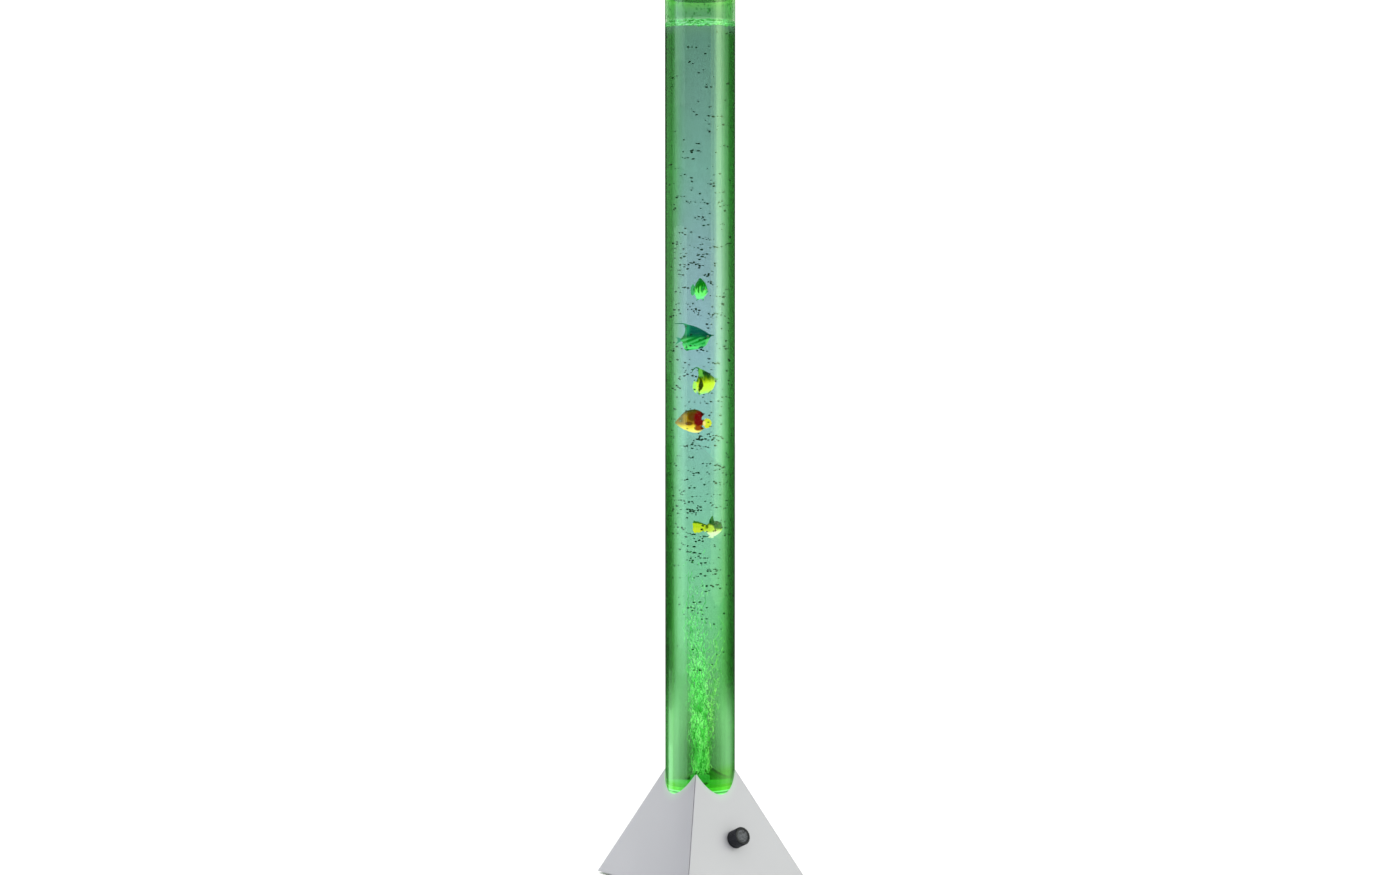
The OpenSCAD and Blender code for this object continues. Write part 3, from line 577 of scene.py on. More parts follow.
def tube_look(name="acrylic_tube", tint=(0.60, 1.0, 0.50)):
    """Clear acrylic. Its green cast, which changes with height, is painted light from the green lamp in the base. The
    wall darkens to deep green where the sight line grazes it, and low down it has a painted glow for the light it
    carries from the lamp in the base. Against the water the wall hardly mirrors."""
    k = Look(name, rough=0.0, ior=1.49, trans=1.0)
    # painted light: the wall's green tint, on its face and at its rim, changes with height
    face = by_height(
        k, (118, (0.40, 0.60, 0.40)), (170, (0.46, 0.64, 0.46)), (230, (0.62, 0.82, 0.64)), (330, (0.74, 0.92, 0.76)), (740, (0.76, 0.93, 0.80)),
        (1130, (0.68, 0.87, 0.72)), (1141, (0.72, 0.90, 0.70)), (1149, (0.72, 0.90, 0.70)), (1150.5, (0.30, 0.55, 0.345)), (1170, (0.30, 0.55, 0.345)),
        (1176, (0.34, 0.72, 0.26)), (1200, (0.34, 0.72, 0.26)),
    )
    rim = by_height(
        k, (118, (0.10, 0.25, 0.10)), (200, (0.06, 0.20, 0.05)), (245, (0.02, 0.12, 0.015)), (290, (0.012, 0.09, 0.010)), (400, (0.014, 0.10, 0.011)),
        (540, (0.020, 0.15, 0.013)), (740, (0.028, 0.23, 0.017)), (1130, (0.034, 0.27, 0.020)), (1141, (0.36, 0.55, 0.32)), (1149, (0.36, 0.55, 0.32)), (1150.5, (0.22, 0.62, 0.19)),
        (1200, (0.22, 0.66, 0.18)),
    )
    lean = k.facing()
    mid = k.ramp(lean, (0.0, (1.0, 1.0, 1.0)), (0.08, (0.98, 1.0, 0.95)), (0.12, (0.92, 1.0, 0.88)), (0.17, (0.80, 1.0, 0.70)), (0.27, (0.62, 1.0, 0.38)))
    in_water = by_height(k, (220, 0.25), (300, 1.0), (1135, 1.0), (1141, 0.2))
    face = k.mix(in_water, face, k.mix(1.0, face, mid, "MULTIPLY"))
    shade = k.ramp(lean, (0.10, (1.0, 1.0, 1.0)), (0.27, (0.90, 0.80, 0.90)), (0.40, (0.75, 0.62, 0.75)))
    face = k.mix(by_height(k, (230, 0.0), (300, 1.0), (440, 1.0), (560, 0.5), (700, 0.0)), face, k.mix(1.0, face, shade, "MULTIPLY"))
    edge = k.ramp(lean, (0.24, 0.0), (0.33, 0.38), (0.42, 0.88), (0.50, 1.0))
    # just above the base the wall is painted darker and purer green, a painted shade that reaches higher up on the
    # knob's side, over a painted light line and a painted dark line
    x, y, z = k.xyz()

    def band(low0, low1, high1, high0):
        return k.math("MULTIPLY", k.span(z, low0, low1), k.span(z, high1, high0, 1.0, 0.0))

    across = k.math("ADD", k.math("MULTIPLY", x, 0.785), k.math("MULTIPLY", y, -0.620))
    pure = band(0.1223, 0.1227, 0.1300, 0.1360)
    tall = band(0.1223, 0.1227, 0.1480, 0.1580)
    pure = k.math("MAXIMUM", pure, k.math("MULTIPLY", tall, k.span(across, 0.010, 0.018, 0.0, 0.7)))
    face = k.mix(pure, face, k.mix(1.0, face, (0.82, 0.93, 0.42), "MULTIPLY"))
    # painted dark line
    line = band(0.1186, 0.1190, 0.1204, 0.1208)
    face = k.mix(line, face, k.mix(1.0, face, (0.50, 0.55, 0.50), "MULTIPLY"))
    k.set("color", k.mix(edge, face, rim))
    ripple = k.noise(28.0, 2.0, 0.5, vector=k.scaled(1.0, 1.0, 0.25))
    k.set("normal", k.bump(ripple, 0.03, 0.0004))
    k.set("tint", tint)
    # painted glow for the light carried up inside the wall, and for the wall's foot, which lights the inside of the
    # base; a thin band of it makes the painted light line
    side = k.ramp(lean, (0.05, 0.0), (0.10, 0.10), (0.17, 0.28), (0.27, 0.60), (0.38, 0.88), (0.47, 0.88), (0.58, 0.46), (0.70, 0.05), kind="EASE")
    low = by_height(k, (118, 0.75), (135, 1.0), (175, 1.0), (215, 0.85), (240, 0.40), (270, 0.0))
    low = k.math("MULTIPLY", low, k.span(line, 0.0, 1.0, 1.0, 0.4))
    foot = k.math("ADD", by_height(k, (113, 0.7), (117, 0.05), (119.0, 0.0)), k.math("MULTIPLY", band(0.1208, 0.1211, 0.1220, 0.1224), 0.075))
    k.set("glow", k.mix(pure, (0.48, 1.0, 0.52), (0.32, 0.92, 0.12)))
    k.set("power", k.math("ADD", k.math("MULTIPLY", k.math("MULTIPLY", side, low), 0.36), k.math("MULTIPLY", foot, 2.2)))
    return k.m


def water_look():
    """Water tinted by height as painted light from the green lamp below: greener low down, greyer towards the top."""
    k = Look("water", rough=0.0, ior=1.33, trans=1.0, tint=(0.05, 0.05, 0.05))
    cloud = k.noise(14.0, 2.0, 0.5, vector=k.scaled(1.0, 1.0, 0.35))
    body = by_height(
        k, (126, (0.21, 0.50, 0.20)), (164, (0.22, 0.53, 0.21)), (190, (0.25, 0.555, 0.24)), (215, (0.28, 0.58, 0.27)), (260, (0.27, 0.60, 0.30)),
        (330, (0.27, 0.635, 0.385)), (364, (0.30, 0.655, 0.44)), (400, (0.32, 0.655, 0.49)), (470, (0.345, 0.63, 0.57)), (542, (0.362, 0.60, 0.62)),
        (620, (0.375, 0.55, 0.66)), (700, (0.395, 0.485, 0.70)), (760, (0.395, 0.455, 0.67)), (830, (0.365, 0.42, 0.60)), (950, (0.285, 0.415, 0.48)),
        (1050, (0.24, 0.335, 0.385)), (1146, (0.19, 0.285, 0.305)),
    )
    k.set("color", k.mix(k.span(cloud, 0.3, 0.7, 0.0, 0.12), body, (0.30, 0.62, 0.42)))
    return k.m


def surface_look():
    """The water's surface, broken up by bubbles, with a painted glow for the light from below."""
    k = Look("water_surface", rough=0.12, ior=1.33, trans=0.2)
    froth = k.cells(150.0, out="Color", vector=k.scaled(1.0, 1.0, 0.3))
    grey = k.xyz(froth)[0]
    soft = k.noise(75.0, 4.0, 0.6)
    tone = k.math("ADD", k.math("MULTIPLY", grey, 0.45), k.math("MULTIPLY", soft, 0.75))
    col = k.ramp(tone, (0.28, (0.08, 0.40, 0.07)), (0.44, (0.24, 0.76, 0.26)), (0.62, (0.40, 0.98, 0.44)), (0.85, (0.62, 1.0, 0.66)))
    k.set("color", col)
    k.set("glow", col).set("power", 1.2)
    k.set("normal", k.bump(soft, 0.5, 0.002))
    return k.m


def plug_look():
    """The plug's painted glow stands for the lamp's light that it carries: saturated green, brighter at its upper rim.
    """
    k = Look("acrylic_plug", rough=0.16, ior=1.49)
    x, y, z = k.xyz()
    radius = k.math("SQRT", k.math("ADD", k.math("MULTIPLY", x, x), k.math("MULTIPLY", y, y)))
    swirl = k.noise(60.0, 4.0, 0.6)
    body = k.ramp(swirl, (0.3, (0.085, 0.66, 0.065)), (0.7, (0.14, 0.84, 0.11)))
    line = k.ramp(k.span(z, 0.115, 0.127), (0.0, 0.0), (0.04, 0.0), (0.10, 1.0), (0.20, 1.0), (0.28, 0.0), (1.0, 0.0))
    side = k.math("GREATER_THAN", radius, 0.0436)
    glow = k.mix(k.math("MULTIPLY", line, side), body, (0.38, 1.0, 0.33))
    k.set("color", (0.10, 0.55, 0.10))
    k.set("glow", glow).set("power", 1.0)
    k.set("normal", k.bump(swirl, 0.12, 0.0003))
    return k.m


def bubble_look():
    """Air bubbles in the water: flattened beads with a bright glint, painted dark green as painted shade for how dark
    they look in the lit water.
    """
    k = Look("bubble", rough=0.16, ior=1.3, trans=0.12)
    tone = k.noise(60.0, 2.0, 0.5)
    k.set("color", k.ramp(tone, (0.3, (0.002, 0.040, 0.016)), (0.7, (0.012, 0.10, 0.042))))
    k.set("rough", k.span(tone, 0.3, 0.7, 0.10, 0.24))
    k.set("tint", (0.4, 1.0, 0.45))
    return k.m


def stream_look():
    """Fine bubbles over the air stone, with a bright green painted glow for the lamp's light on them."""
    k = Look("bubble_stream", rough=0.2, ior=1.2)
    tone = k.cells(330.0, out="Color", vector=k.scaled(1.0, 1.0, 0.30))
    grey = k.xyz(tone)[0]
    k.set("color", k.ramp(grey, (0.0, (0.02, 0.25, 0.02)), (1.0, (0.25, 0.85, 0.25))))
    low = k.ramp(grey, (0.0, (0.015, 0.20, 0.015)), (0.30, (0.05, 0.38, 0.05)), (0.52, (0.16, 0.62, 0.15)), (0.74, (0.38, 0.86, 0.34)), (1.0, (0.75, 0.95, 0.60)))
    high = k.ramp(grey, (0.0, (0.03, 0.20, 0.04)), (0.40, (0.12, 0.42, 0.15)), (0.72, (0.34, 0.72, 0.34)), (1.0, (0.62, 0.85, 0.50)))
    warm = k.ramp(grey, (0.0, (0.03, 0.18, 0.03)), (0.40, (0.14, 0.40, 0.10)), (0.70, (0.42, 0.70, 0.20)), (1.0, (0.80, 0.95, 0.42)))
    x, y, z = k.xyz()
    across = k.math("ADD", k.math("MULTIPLY", x, 0.785), k.math("MULTIPLY", y, -0.620))
    glow = k.mix(k.span(z, 0.20, 0.36), low, high)
    k.set("glow", k.mix(k.span(across, 0.005, 0.012), glow, warm)).set("power", 1.35)
    return k.m


def foam_look():
    k = Look("foam", rough=0.08, ior=1.25)
    tone = k.cells(300.0, out="Color")
    grey = k.xyz(tone)[1]
    k.set("color", k.ramp(grey, (0.0, (0.12, 0.55, 0.14)), (1.0, (0.5, 0.95, 0.5))))
    # painted glow for the light from below
    k.set("glow", k.ramp(grey, (0.0, (0.04, 0.28, 0.03)), (0.35, (0.12, 0.52, 0.10)), (0.62, (0.34, 0.92, 0.30)), (1.0, (0.66, 1.0, 0.58)))).set("power", 1.0)
    return k.m


def drop_look():
    k = Look("condensation", rough=0.0, ior=1.33, trans=1.0)
    # the green tint stands for the lamp's light in the drops: painted light
    k.set("color", k.ramp(k.noise(200.0), (0.3, (0.30, 0.60, 0.34)), (0.7, (0.50, 0.80, 0.54))))
    return k.m


TUBE = tube_look()
BORE = tube_look("acrylic_bore", (0.08, 0.10, 0.07))
WATER = water_look()
SURFACE = surface_look()
PLUG = plug_look()
BUBBLE = bubble_look()
STREAM = stream_look()
FOAM = foam_look()
DROP = drop_look()

# ------------------------------------------------------------------ CAD nodes that keep their shape
SLOT_OF = {
    "bottom_plate": "dark_plate", "rubber_feet": "rubber_black", "cover_screws": "zinc_steel", "weld_nuts": "zinc_steel",
    "tube_socket": "abs_black", "socket_screws": "zinc_steel", "tube_cushion": "rubber_black", "air_nipple": "nylon",
    "nipple_seal": "rubber_black", "nipple_nut": "nylon", "led_carrier": "white_plastic", "led_board": "board_white",
    "leds": "light_chip", "led_screws": "zinc_steel", "hose_to_valve": "silicone_hose", "hose_to_tube": "silicone_hose",
    "check_valve": "valve_blue", "valve_cradle": "abs_black", "pump_housing": "pump_grey", "pump_lid": "pump_grey",
    "pump_mounts": "rubber_black", "pump_core": "core_iron", "pump_coil": "coil_copper", "pump_lever": "nylon",
    "pump_magnet": "magnet_dark", "pump_diaphragm": "rubber_black", "pump_valve_box": "pump_grey",
    "control_board": "board_green", "board_parts": "parts_black", "board_standoffs": "standoff_brass",
    "potentiometer": "zinc_steel", "pot_nut": "zinc_steel", "pot_shaft": "shaft_aluminium", "dc_jack": "abs_black",
    "jack_nut": "zinc_steel", "wire_jack": "wire_black", "wire_pump": "wire_black", "wire_leds": "wire_white",
    "wire_pot": "wire_white", "lid_seal": "rubber_black",
}
for name, slot_name in SLOT_OF.items():
    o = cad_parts[name]
    o.data.materials.clear()
    o.data.materials.append(LOOKS[slot_name])


# ------------------------------------------------------------------ cover: folded sheet with a cut-out for the tube
def half_at(z):
    return (APEX - z) * SLOPE


def cover_columns(d, corner, groove):
    """Points (x, y) round the cover's level section of half-width d, anticlockwise from the front face."""
    pts = []
    n_face, n_arc = 56, 30
    for f in range(4):
        a = math.radians(-90 + 90 * f)
        n = (math.cos(a), math.sin(a))
        t = (-math.sin(a), math.cos(a))
        for i in range(n_face):
            s = (-1 + 2 * (i + 0.5) / n_face) * (d - corner)
            pts.append((n[0] * d + t[0] * s, n[1] * d + t[1] * s))
        for i in range(n_arc + 1):
            p = 90.0 * i / n_arc
            r = corner - groove * math.exp(-(((p - 30.0) / 11.0) ** 2))
            c, s = math.cos(math.radians(p)), math.sin(math.radians(p))
            cx, cy = (n[0] + t[0]) * (d - corner), (n[1] + t[1]) * (d - corner)
            pts.append((cx + r * (c * n[0] + s * t[0]), cy + r * (c * n[1] + s * t[1])))
    return pts


def cover_shell(offset, corner, groove, rows):
    """Rings of the shell's outer (offset 0) or inner surface, from the bottom edge up to the cut-out, column by column."""
    count = len(cover_columns(100.0, corner, groove))
    top = []
    for c in range(count):
        lo, hi = 28.0, 60.0
        for _ in range(40):
            mid = (lo + hi) / 2
            x, y = cover_columns_point(mid, corner, groove, c)
            if math.hypot(x, y) < CUT_R:
                lo = mid
            else:
                hi = mid
        top.append((lo + hi) / 2)
    bottom = half_at(FOOT_H) - offset
    rings = []
    for r in range(rows + 1):
        f = r / rows
        f = f ** 0.85
        ring = []
        for c in range(count):
            d = bottom + (top[c] - bottom) * f
            x, y = cover_columns_point(d, corner, groove, c)
            z = APEX - (d + offset) / SLOPE
            ring.append((x, y, z))
        rings.append(ring)
    return rings


_column_cache = {}


def cover_columns_point(d, corner, groove, c):
    """One point of cover_columns, worked out from two sections since each column is a straight line."""
    key = (corner, groove)
    if key not in _column_cache:
        _column_cache[key] = (cover_columns(20.0, corner, groove), cover_columns(100.0, corner, groove))
    a, b = _column_cache[key]
    f = (d - 20.0) / 80.0
    return (a[c][0] + (b[c][0] - a[c][0]) * f, a[c][1] + (b[c][1] - a[c][1]) * f)


def build_cover():
    rows = 26
    outer = cover_shell(0.0, 2.4, 1.30, rows)
    inner = cover_shell(SHEET_X, 0.9, 0.0, rows)
    n = len(outer[0])
    verts = [p for ring in outer for p in ring] + [p for ring in inner for p in ring]
    base = (rows + 1) * n
    faces, mats = [], []
    for r in range(rows):
        for i in range(n):
            j = (i + 1) % n
            a, b = r * n, (r + 1) * n
            faces.append((a + i, a + j, b + j, b + i))
            # where the column stands in its corner, in degrees: the seam, painted dark as painted shade in its groove,
            # then the edge beside it, painted light as a painted highlight
            p = 90.0 * ((i % (n // 4)) - 56 + 0.5) / 30.0
            mats.append(1 if 20.0 < p < 40.0 else 2 if 50.0 < p < 80.0 else 0)
            faces.append((base + a + j, base + a + i, base + b + i, base + b + j))
            mats.append(3)
    for i in range(n):
        j = (i + 1) % n
        faces.append((i, base + i, base + j, j))
        t = rows * n
        faces.append((t + i, t + j, base + t + j, base + t + i))
        mats += [0, 0]
    o = make("cover_shell", verts, faces, mats=[LOOKS["painted_sheet"], PAINT_SEAM_SHADE, PAINT_EDGE_HIGHLIGHT, PAINT_INSIDE], mat_index=mats)
    outward(o)
    # holes for the potentiometer's bushing and for the power inlet
    for at, r, lean in ((KNOB_AT, 3.6, math.pi / 2 - TAU), (JACK_AT, 4.05, TAU - math.pi / 2)):
        v, f = revolve([(0, -6), (r, -6), (r, 6), (0, 6)], 48, closed=False)
        c = make("cutter", v, f, matrix=Matrix.Translation(at * MM) @ Matrix.Rotation(lean, 4, "X"), smooth=False)
        outward(c)
        cut(o, c)
    rounded_edges(o, 0.3, 2, 48.0)
    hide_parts("base_cover")
    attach(o, "root")
    # the four folded tabs that the screws hold
    parts = []
    for q in range(4):
        a = math.radians(90 * q)
        bm = bmesh.new()
        inner_x = half_at(6.5) - SHEET_X + 0.35
        bmesh.ops.create_cube(bm, size=1.0)
        for v in bm.verts:
            v.co.x = 80.0 + (v.co.x + 0.5) * (inner_x - 80.0)
            v.co.y *= 24.0
            v.co.z = 5.0 + (v.co.z + 0.5) * 1.5
        me = bpy.data.meshes.new("tab")
        bm.to_mesh(me)
        bm.free()
        me.transform(Matrix.Rotation(a, 4, "Z"))
        me.transform(Matrix.Scale(MM, 4))
        t = bpy.data.objects.new("tab", me)
        scene.collection.objects.link(t)
        v, f = revolve([(0, 3), (2.1, 3), (2.1, 9), (0, 9)], 32, closed=False)
        c = make("cutter", v, f, smooth=False,
                 matrix=Matrix.Translation(Vector((88 * math.cos(a), 88 * math.sin(a), 0)) * MM))
        outward(c)
        cut(t, c)
        t.data.materials.clear()
        t.data.materials.append(LOOKS["painted_sheet"])
        rounded_edges(t, 0.25, 2, 48.0)
        t.name = "cover_tab_%d" % (q + 1)
        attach(t, "root")


build_cover()


# ------------------------------------------------------------------ control knob
def build_knob():
    R, H, N, PER = 12.25, 19.7, 30, 10
    segs = N * PER
    pitch = 2 * math.pi / N

    def flute(phi):
        u = abs(((phi / pitch + 0.5) % 1.0) - 0.5) * pitch * R
        return math.sqrt(max(0.0, 0.85**2 - u * u)) - 0.35 if u < 0.775 else 0.0

    # (radius, height, share of the flute's depth)
    side = [(8.5, 0.9, 0), (11.9, 0.9, 0), (12.1, 0.96, 0), (12.22, 1.1, 0), (12.25, 1.3, 0), (12.25, 2.9, 0), (12.25, 3.05, 0.0),
            (12.25, 3.2, 0.75), (12.25, 3.5, 1.0), (12.25, 10.0, 1.0), (12.25, 18.5, 1.0), (12.18, 18.85, 1.0), (11.95, 19.2, 0.9),
            (11.6, 19.5, 0.6), (11.25, 19.65, 0.3), (10.9, 19.7, 0.0), (10.0, 19.7, 0), (9.65, 19.66, 0), (9.4, 19.5, 0),
            (9.25, 19.2, 0), (9.1, 18.85, 0), (8.8, 18.62, 0), (8.3, 18.53, 0), (6.0, 18.5, 0), (3.0, 18.5, 0), (0, 18.5, 0)]
    under = [(0, 16.55, 0), (3.02, 16.55, 0), (3.02, 6.2, 0), (8.5, 6.2, 0)]
    rings, verts = [], []
    for r, z, share in side + under:
        if r < 1e-6:
            rings.append([len(verts)])
            verts.append((0.0, 0.0, z))
            continue
        rings.append(list(range(len(verts), len(verts) + segs)))
        for i in range(segs):
            p = 2 * math.pi * i / segs
            rr = r - flute(p) * share
            verts.append((rr * math.cos(p), rr * math.sin(p), z))
    faces = []
    n = len(rings)
    for q in range(n):
        a, b = rings[q], rings[(q + 1) % n]
        if len(a) == 1 and len(b) == 1:
            continue
        for i in range(segs):
            j = (i + 1) % segs
            if len(a) == 1:
                faces.append((a[0], b[j], b[i]))
            elif len(b) == 1:
                faces.append((a[i], a[j], b[0]))
            else:
                faces.append((a[i], a[j], b[j], b[i]))
    place = Matrix.Translation(KNOB_AT * MM) @ Matrix.Rotation(math.pi / 2 - TAU, 4, "X") @ Matrix.Rotation(math.radians(-45), 4, "Z")
    o = make("knob_fluted", verts, faces, matrix=place, mats=[LOOKS["knob_black"]], sharp=55.0)
    outward(o)
    v, f = [], []
    # pointer: a shallow rounded groove from the dish to the rim
    w, r0, r1, d = 0.6, 4.4, 13.0, 18.02
    prof = [(-w, 22.0), (-w, d + 0.25), (-w * 0.7, d + 0.06), (0.0, d), (w * 0.7, d + 0.06), (w, d + 0.25), (w, 22.0)]
    for yy in (r0, r1):
        for x, z in prof:
            v.append((x, yy, z))
    m = len(prof)
    for i in range(m):
        j = (i + 1) % m
        f.append((i, j, m + j, m + i))
    f.append(tuple(range(m)))
    f.append(tuple(range(2 * m - 1, m - 1, -1)))
    c = make("cutter", v, f, matrix=place, smooth=False)
    outward(c)
    cut(o, c)
    o.data.polygons.foreach_set("use_smooth", [True] * len(o.data.polygons))
    o.data.set_sharp_from_angle(angle=math.radians(48))
    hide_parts("control_knob")
    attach(o, "knob")


build_knob()


# ------------------------------------------------------------------ tube, plug, water, lid
def build_tube():
    z0, z1, c = TUBE_LO, TUBE_HI, 0.35
    prof = [(BORE_R + c, z0), (TUBE_R - c, z0), (TUBE_R - 0.1, z0 + 0.1), (TUBE_R, z0 + c)]
    prof += [(TUBE_R, z) for z in (z0 + c + 0.3, 115.0, 150.0, 300.0, 600.0, 900.0, 1148.0, z1 - c - 0.3)]
    prof += [(TUBE_R, z1 - c), (TUBE_R - 0.1, z1 - 0.1), (TUBE_R - c, z1), (BORE_R + c, z1), (BORE_R + 0.1, z1 - 0.1), (BORE_R, z1 - c)]
    prof += [(BORE_R, z) for z in (z1 - c - 0.3, 1148.0, 900.0, 600.0, 300.0, 150.0, 115.0, z0 + c + 0.3)]
    prof += [(BORE_R, z0 + c), (BORE_R + 0.1, z0 + 0.1)]
    v, f = revolve(prof, 256)
    bore = [1 if all(abs(math.hypot(*v[i][:2]) - BORE_R) < 1e-6 for i in q) else 0 for q in f]
    o = make("tube_wall", v, f, mats=[TUBE, BORE], mat_index=bore, sharp=50.0)
    outward(o)
    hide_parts("clear_tube")
    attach(o, "root")

    r, c = BORE_R - 0.06, 0.5
    prof = [(4.05, PLUG_LO), (r - c, PLUG_LO), (r - 0.15, PLUG_LO + 0.15), (r, PLUG_LO + c), (r, PLUG_HI - c),
            (r - 0.15, PLUG_HI - 0.15), (r - c, PLUG_HI), (30.0, PLUG_HI), (10.0, PLUG_HI), (4.05, PLUG_HI)]
    v, f = revolve(prof, 192)
    o = make("plug_disc", v, f, mats=[PLUG], sharp=50.0)
    outward(o)
    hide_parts("tube_plug")
    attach(o, "root")


def surface_z(x, y, rnd_phase=(0.3, 1.7, 4.1)):
    """Height of the water's surface: small waves and the climb at the wall."""
    r = math.hypot(x, y)
    a = math.atan2(y, x)
    wave = 0.9 * math.sin(x * 0.21 + rnd_phase[0]) * math.cos(y * 0.17 + rnd_phase[1]) + 0.55 * math.sin(5 * a + rnd_phase[2]) * (r / 44.0)
    wave += 0.35 * math.sin(x * 0.47 - y * 0.39)
    climb = 1.8 * math.exp(-(44.0 - min(r, 44.0)) / 1.6)
    return WATER_HI + wave * 0.9 + climb


def build_water():
    segs, r_out = 192, BORE_R + 0.05
    verts, rings = [], []
    floor_z = PLUG_HI - 0.05
    heights = [floor_z, 300.0, 600.0, 900.0, 1100.0]
    # bottom centre
    rings.append([0])
    verts.append((0.0, 0.0, floor_z))
    for z in heights:
        rings.append(list(range(len(verts), len(verts) + segs)))
        for i in range(segs):
            a = 2 * math.pi * i / segs
            verts.append((r_out * math.cos(a), r_out * math.sin(a), z))
    for r in (r_out, 43.6, 43.0, 42.0, 40.5, 38.0, 34.0, 29.0, 23.0, 17.0, 11.0, 5.0):
        rings.append(list(range(len(verts), len(verts) + segs)))
        for i in range(segs):
            a = 2 * math.pi * i / segs
            x, y = r * math.cos(a), r * math.sin(a)
            verts.append((x, y, surface_z(x, y)))
    rings.append([len(verts)])
    verts.append((0.0, 0.0, surface_z(0.0, 0.0)))
    faces, mats = [], []
    for q, (a, b) in enumerate(zip(rings[:-1], rings[1:])):
        for i in range(segs):
            j = (i + 1) % segs
            if len(a) == 1:
                faces.append((a[0], b[i], b[j]))
            elif len(b) == 1:
                faces.append((a[i], a[j], b[0]))
            else:
                faces.append((a[i], a[j], b[j], b[i]))
            mats.append(1 if q >= len(heights) + 1 else 0)
    o = make("water", verts, faces, mats=[WATER, SURFACE], mat_index=mats, sharp=60.0)
    outward(o)
    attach(o, "root")


def build_lid():
    top, c = TUBE_HI, 0.7
    rr = TUBE_R + 1.5
    sr = BORE_R - 0.4
    prof = [(sr - 3.6, top - 14.0), (sr - 0.8, top - 14.0), (sr - 0.2, top - 13.7), (sr, top - 13.2), (sr, top - 8.3)]
    prof += [(sr - 0.75, top - 8.1), (sr - 1.2, top - 7.0), (sr - 0.75, top - 5.9), (sr, top - 5.7)]
    prof += [(sr, top + 0.3), (rr - 0.3, top + 0.3), (rr, top + 0.6), (rr, top + 2.0), (rr - 0.18, top + 2.15), (rr - 0.18, top + 2.55),
             (rr, top + 2.7), (rr, top + 6.0 - 1.3)]
    prof += arc(rr - 1.3, top + 6.0 - 1.3, 1.3, 12, 90, 6)
    prof += [(rr - 9.0, top + 6.0)]
    prof += [(rr - 9.35, top + 5.92), (rr - 9.7, top + 5.5), (rr - 9.9, top + 4.8), (rr - 10.3, top + 4.46), (rr - 11.2, top + 4.4),
             (30.0, top + 4.4), (29.6, top + 4.28), (29.2, top + 4.28), (28.8, top + 4.4), (14.0, top + 4.4), (5.0, top + 4.4),
             (3.0, top + 4.3), (2.5, top + 3.9), (2.5, top - 0.9), (2.7, top - 1.2), (20.0, top - 1.2), (sr - 4.6, top - 1.2),
             (sr - 3.8, top - 1.6), (sr - 3.6, top - 2.4)]
    v, f = revolve(prof, 160)
    o = make("lid_cap", v, f, mats=[LOOKS["lid_grey"]], sharp=35.0)
    outward(o)
    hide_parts("lid")
    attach(o, "lid_part")


def build_stone():
    rnd = random.Random(5)
    prof = [(3.05, 130.0), (9.3, 130.0), (9.8, 130.2), (10.0, 130.7), (10.0, 132.0), (10.0, 134.0), (10.0, 136.0), (10.0, 138.2),
            (9.7, 138.8), (9.1, 139.0), (6.0, 139.0), (3.0, 139.0), (0.0, 139.0), (0.0, 134.6), (3.05, 134.5)]
    v, f = revolve(prof, 72)
    out = []
    for x, y, z in v:
        r = math.hypot(x, y)
        if r > 9.0 and z > 130.1:
            k = 1 - rnd.random() * 0.035
            out.append((x * k, y * k, z - (rnd.random() * 0.25 if z > 138.0 else 0.0)))
        elif z > 138.5:
            out.append((x, y, z - rnd.random() * 0.3))
        else:
            out.append((x, y, z))
    o = make("air_stone_grains", out, f, mats=[LOOKS["bubble_stone"]], sharp=60.0)
    outward(o)
    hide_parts("air_stone")
    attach(o, "root")


build_tube()
build_water()
build_lid()
build_stone()


# ------------------------------------------------------------------ bubbles
def unit_ball(rings, segs):
    """A ball's points and faces, poles up."""
    v, f = [(0.0, 0.0, -1.0)], []
    for r in range(1, rings):
        p = -math.pi / 2 + math.pi * r / rings
        for s in range(segs):
            a = 2 * math.pi * s / segs
            v.append((math.cos(p) * math.cos(a), math.cos(p) * math.sin(a), math.sin(p)))
    v.append((0.0, 0.0, 1.0))
    last = len(v) - 1
    for s in range(segs):
        t = (s + 1) % segs
        f.append((0, 1 + t, 1 + s))
        for r in range(rings - 2):
            a, b = 1 + r * segs, 1 + (r + 1) * segs
            f.append((a + s, a + t, b + t, b + s))
        k = 1 + (rings - 2) * segs
        f.append((k + s, k + t, last))
    return np.array(v), f


def swarm(name, places, ball, material, body="root"):
    """One mesh of many balls. places holds (matrix 3x3, centre) in millimetres."""
    bv, bf = ball
    verts = np.concatenate([bv @ m.T + c for m, c in places])
    n = len(bv)
    faces = []
    for i in range(len(places)):
        o = i * n
        faces.extend(tuple(a + o for a in f) for f in bf)
    ob = make(name, verts.tolist(), faces, mats=[material], sharp=None)
    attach(ob, body)
    return ob


def turn(rx, ry, rz):
    return np.array(Matrix.Rotation(rz, 3, "Z") @ Matrix.Rotation(ry, 3, "Y") @ Matrix.Rotation(rx, 3, "X"))


def smooth_table(rows, steps):
    """Rows of (x, a, b, c ...) resampled on a smooth curve."""
    rows = np.array(rows, float)
    n = len(rows)
    out = []
    for i in range(n - 1):
        p0, p1, p2, p3 = rows[max(i - 1, 0)], rows[i], rows[i + 1], rows[min(i + 2, n - 1)]
        for k in range(steps):
            t = k / steps
            out.append(0.5 * ((2 * p1) + (p2 - p0) * t + (2 * p0 - 5 * p1 + 4 * p2 - p3) * t * t + (3 * p1 - p0 - 3 * p2 + p3) * t**3))
    out.append(rows[-1])
    return np.array(out)


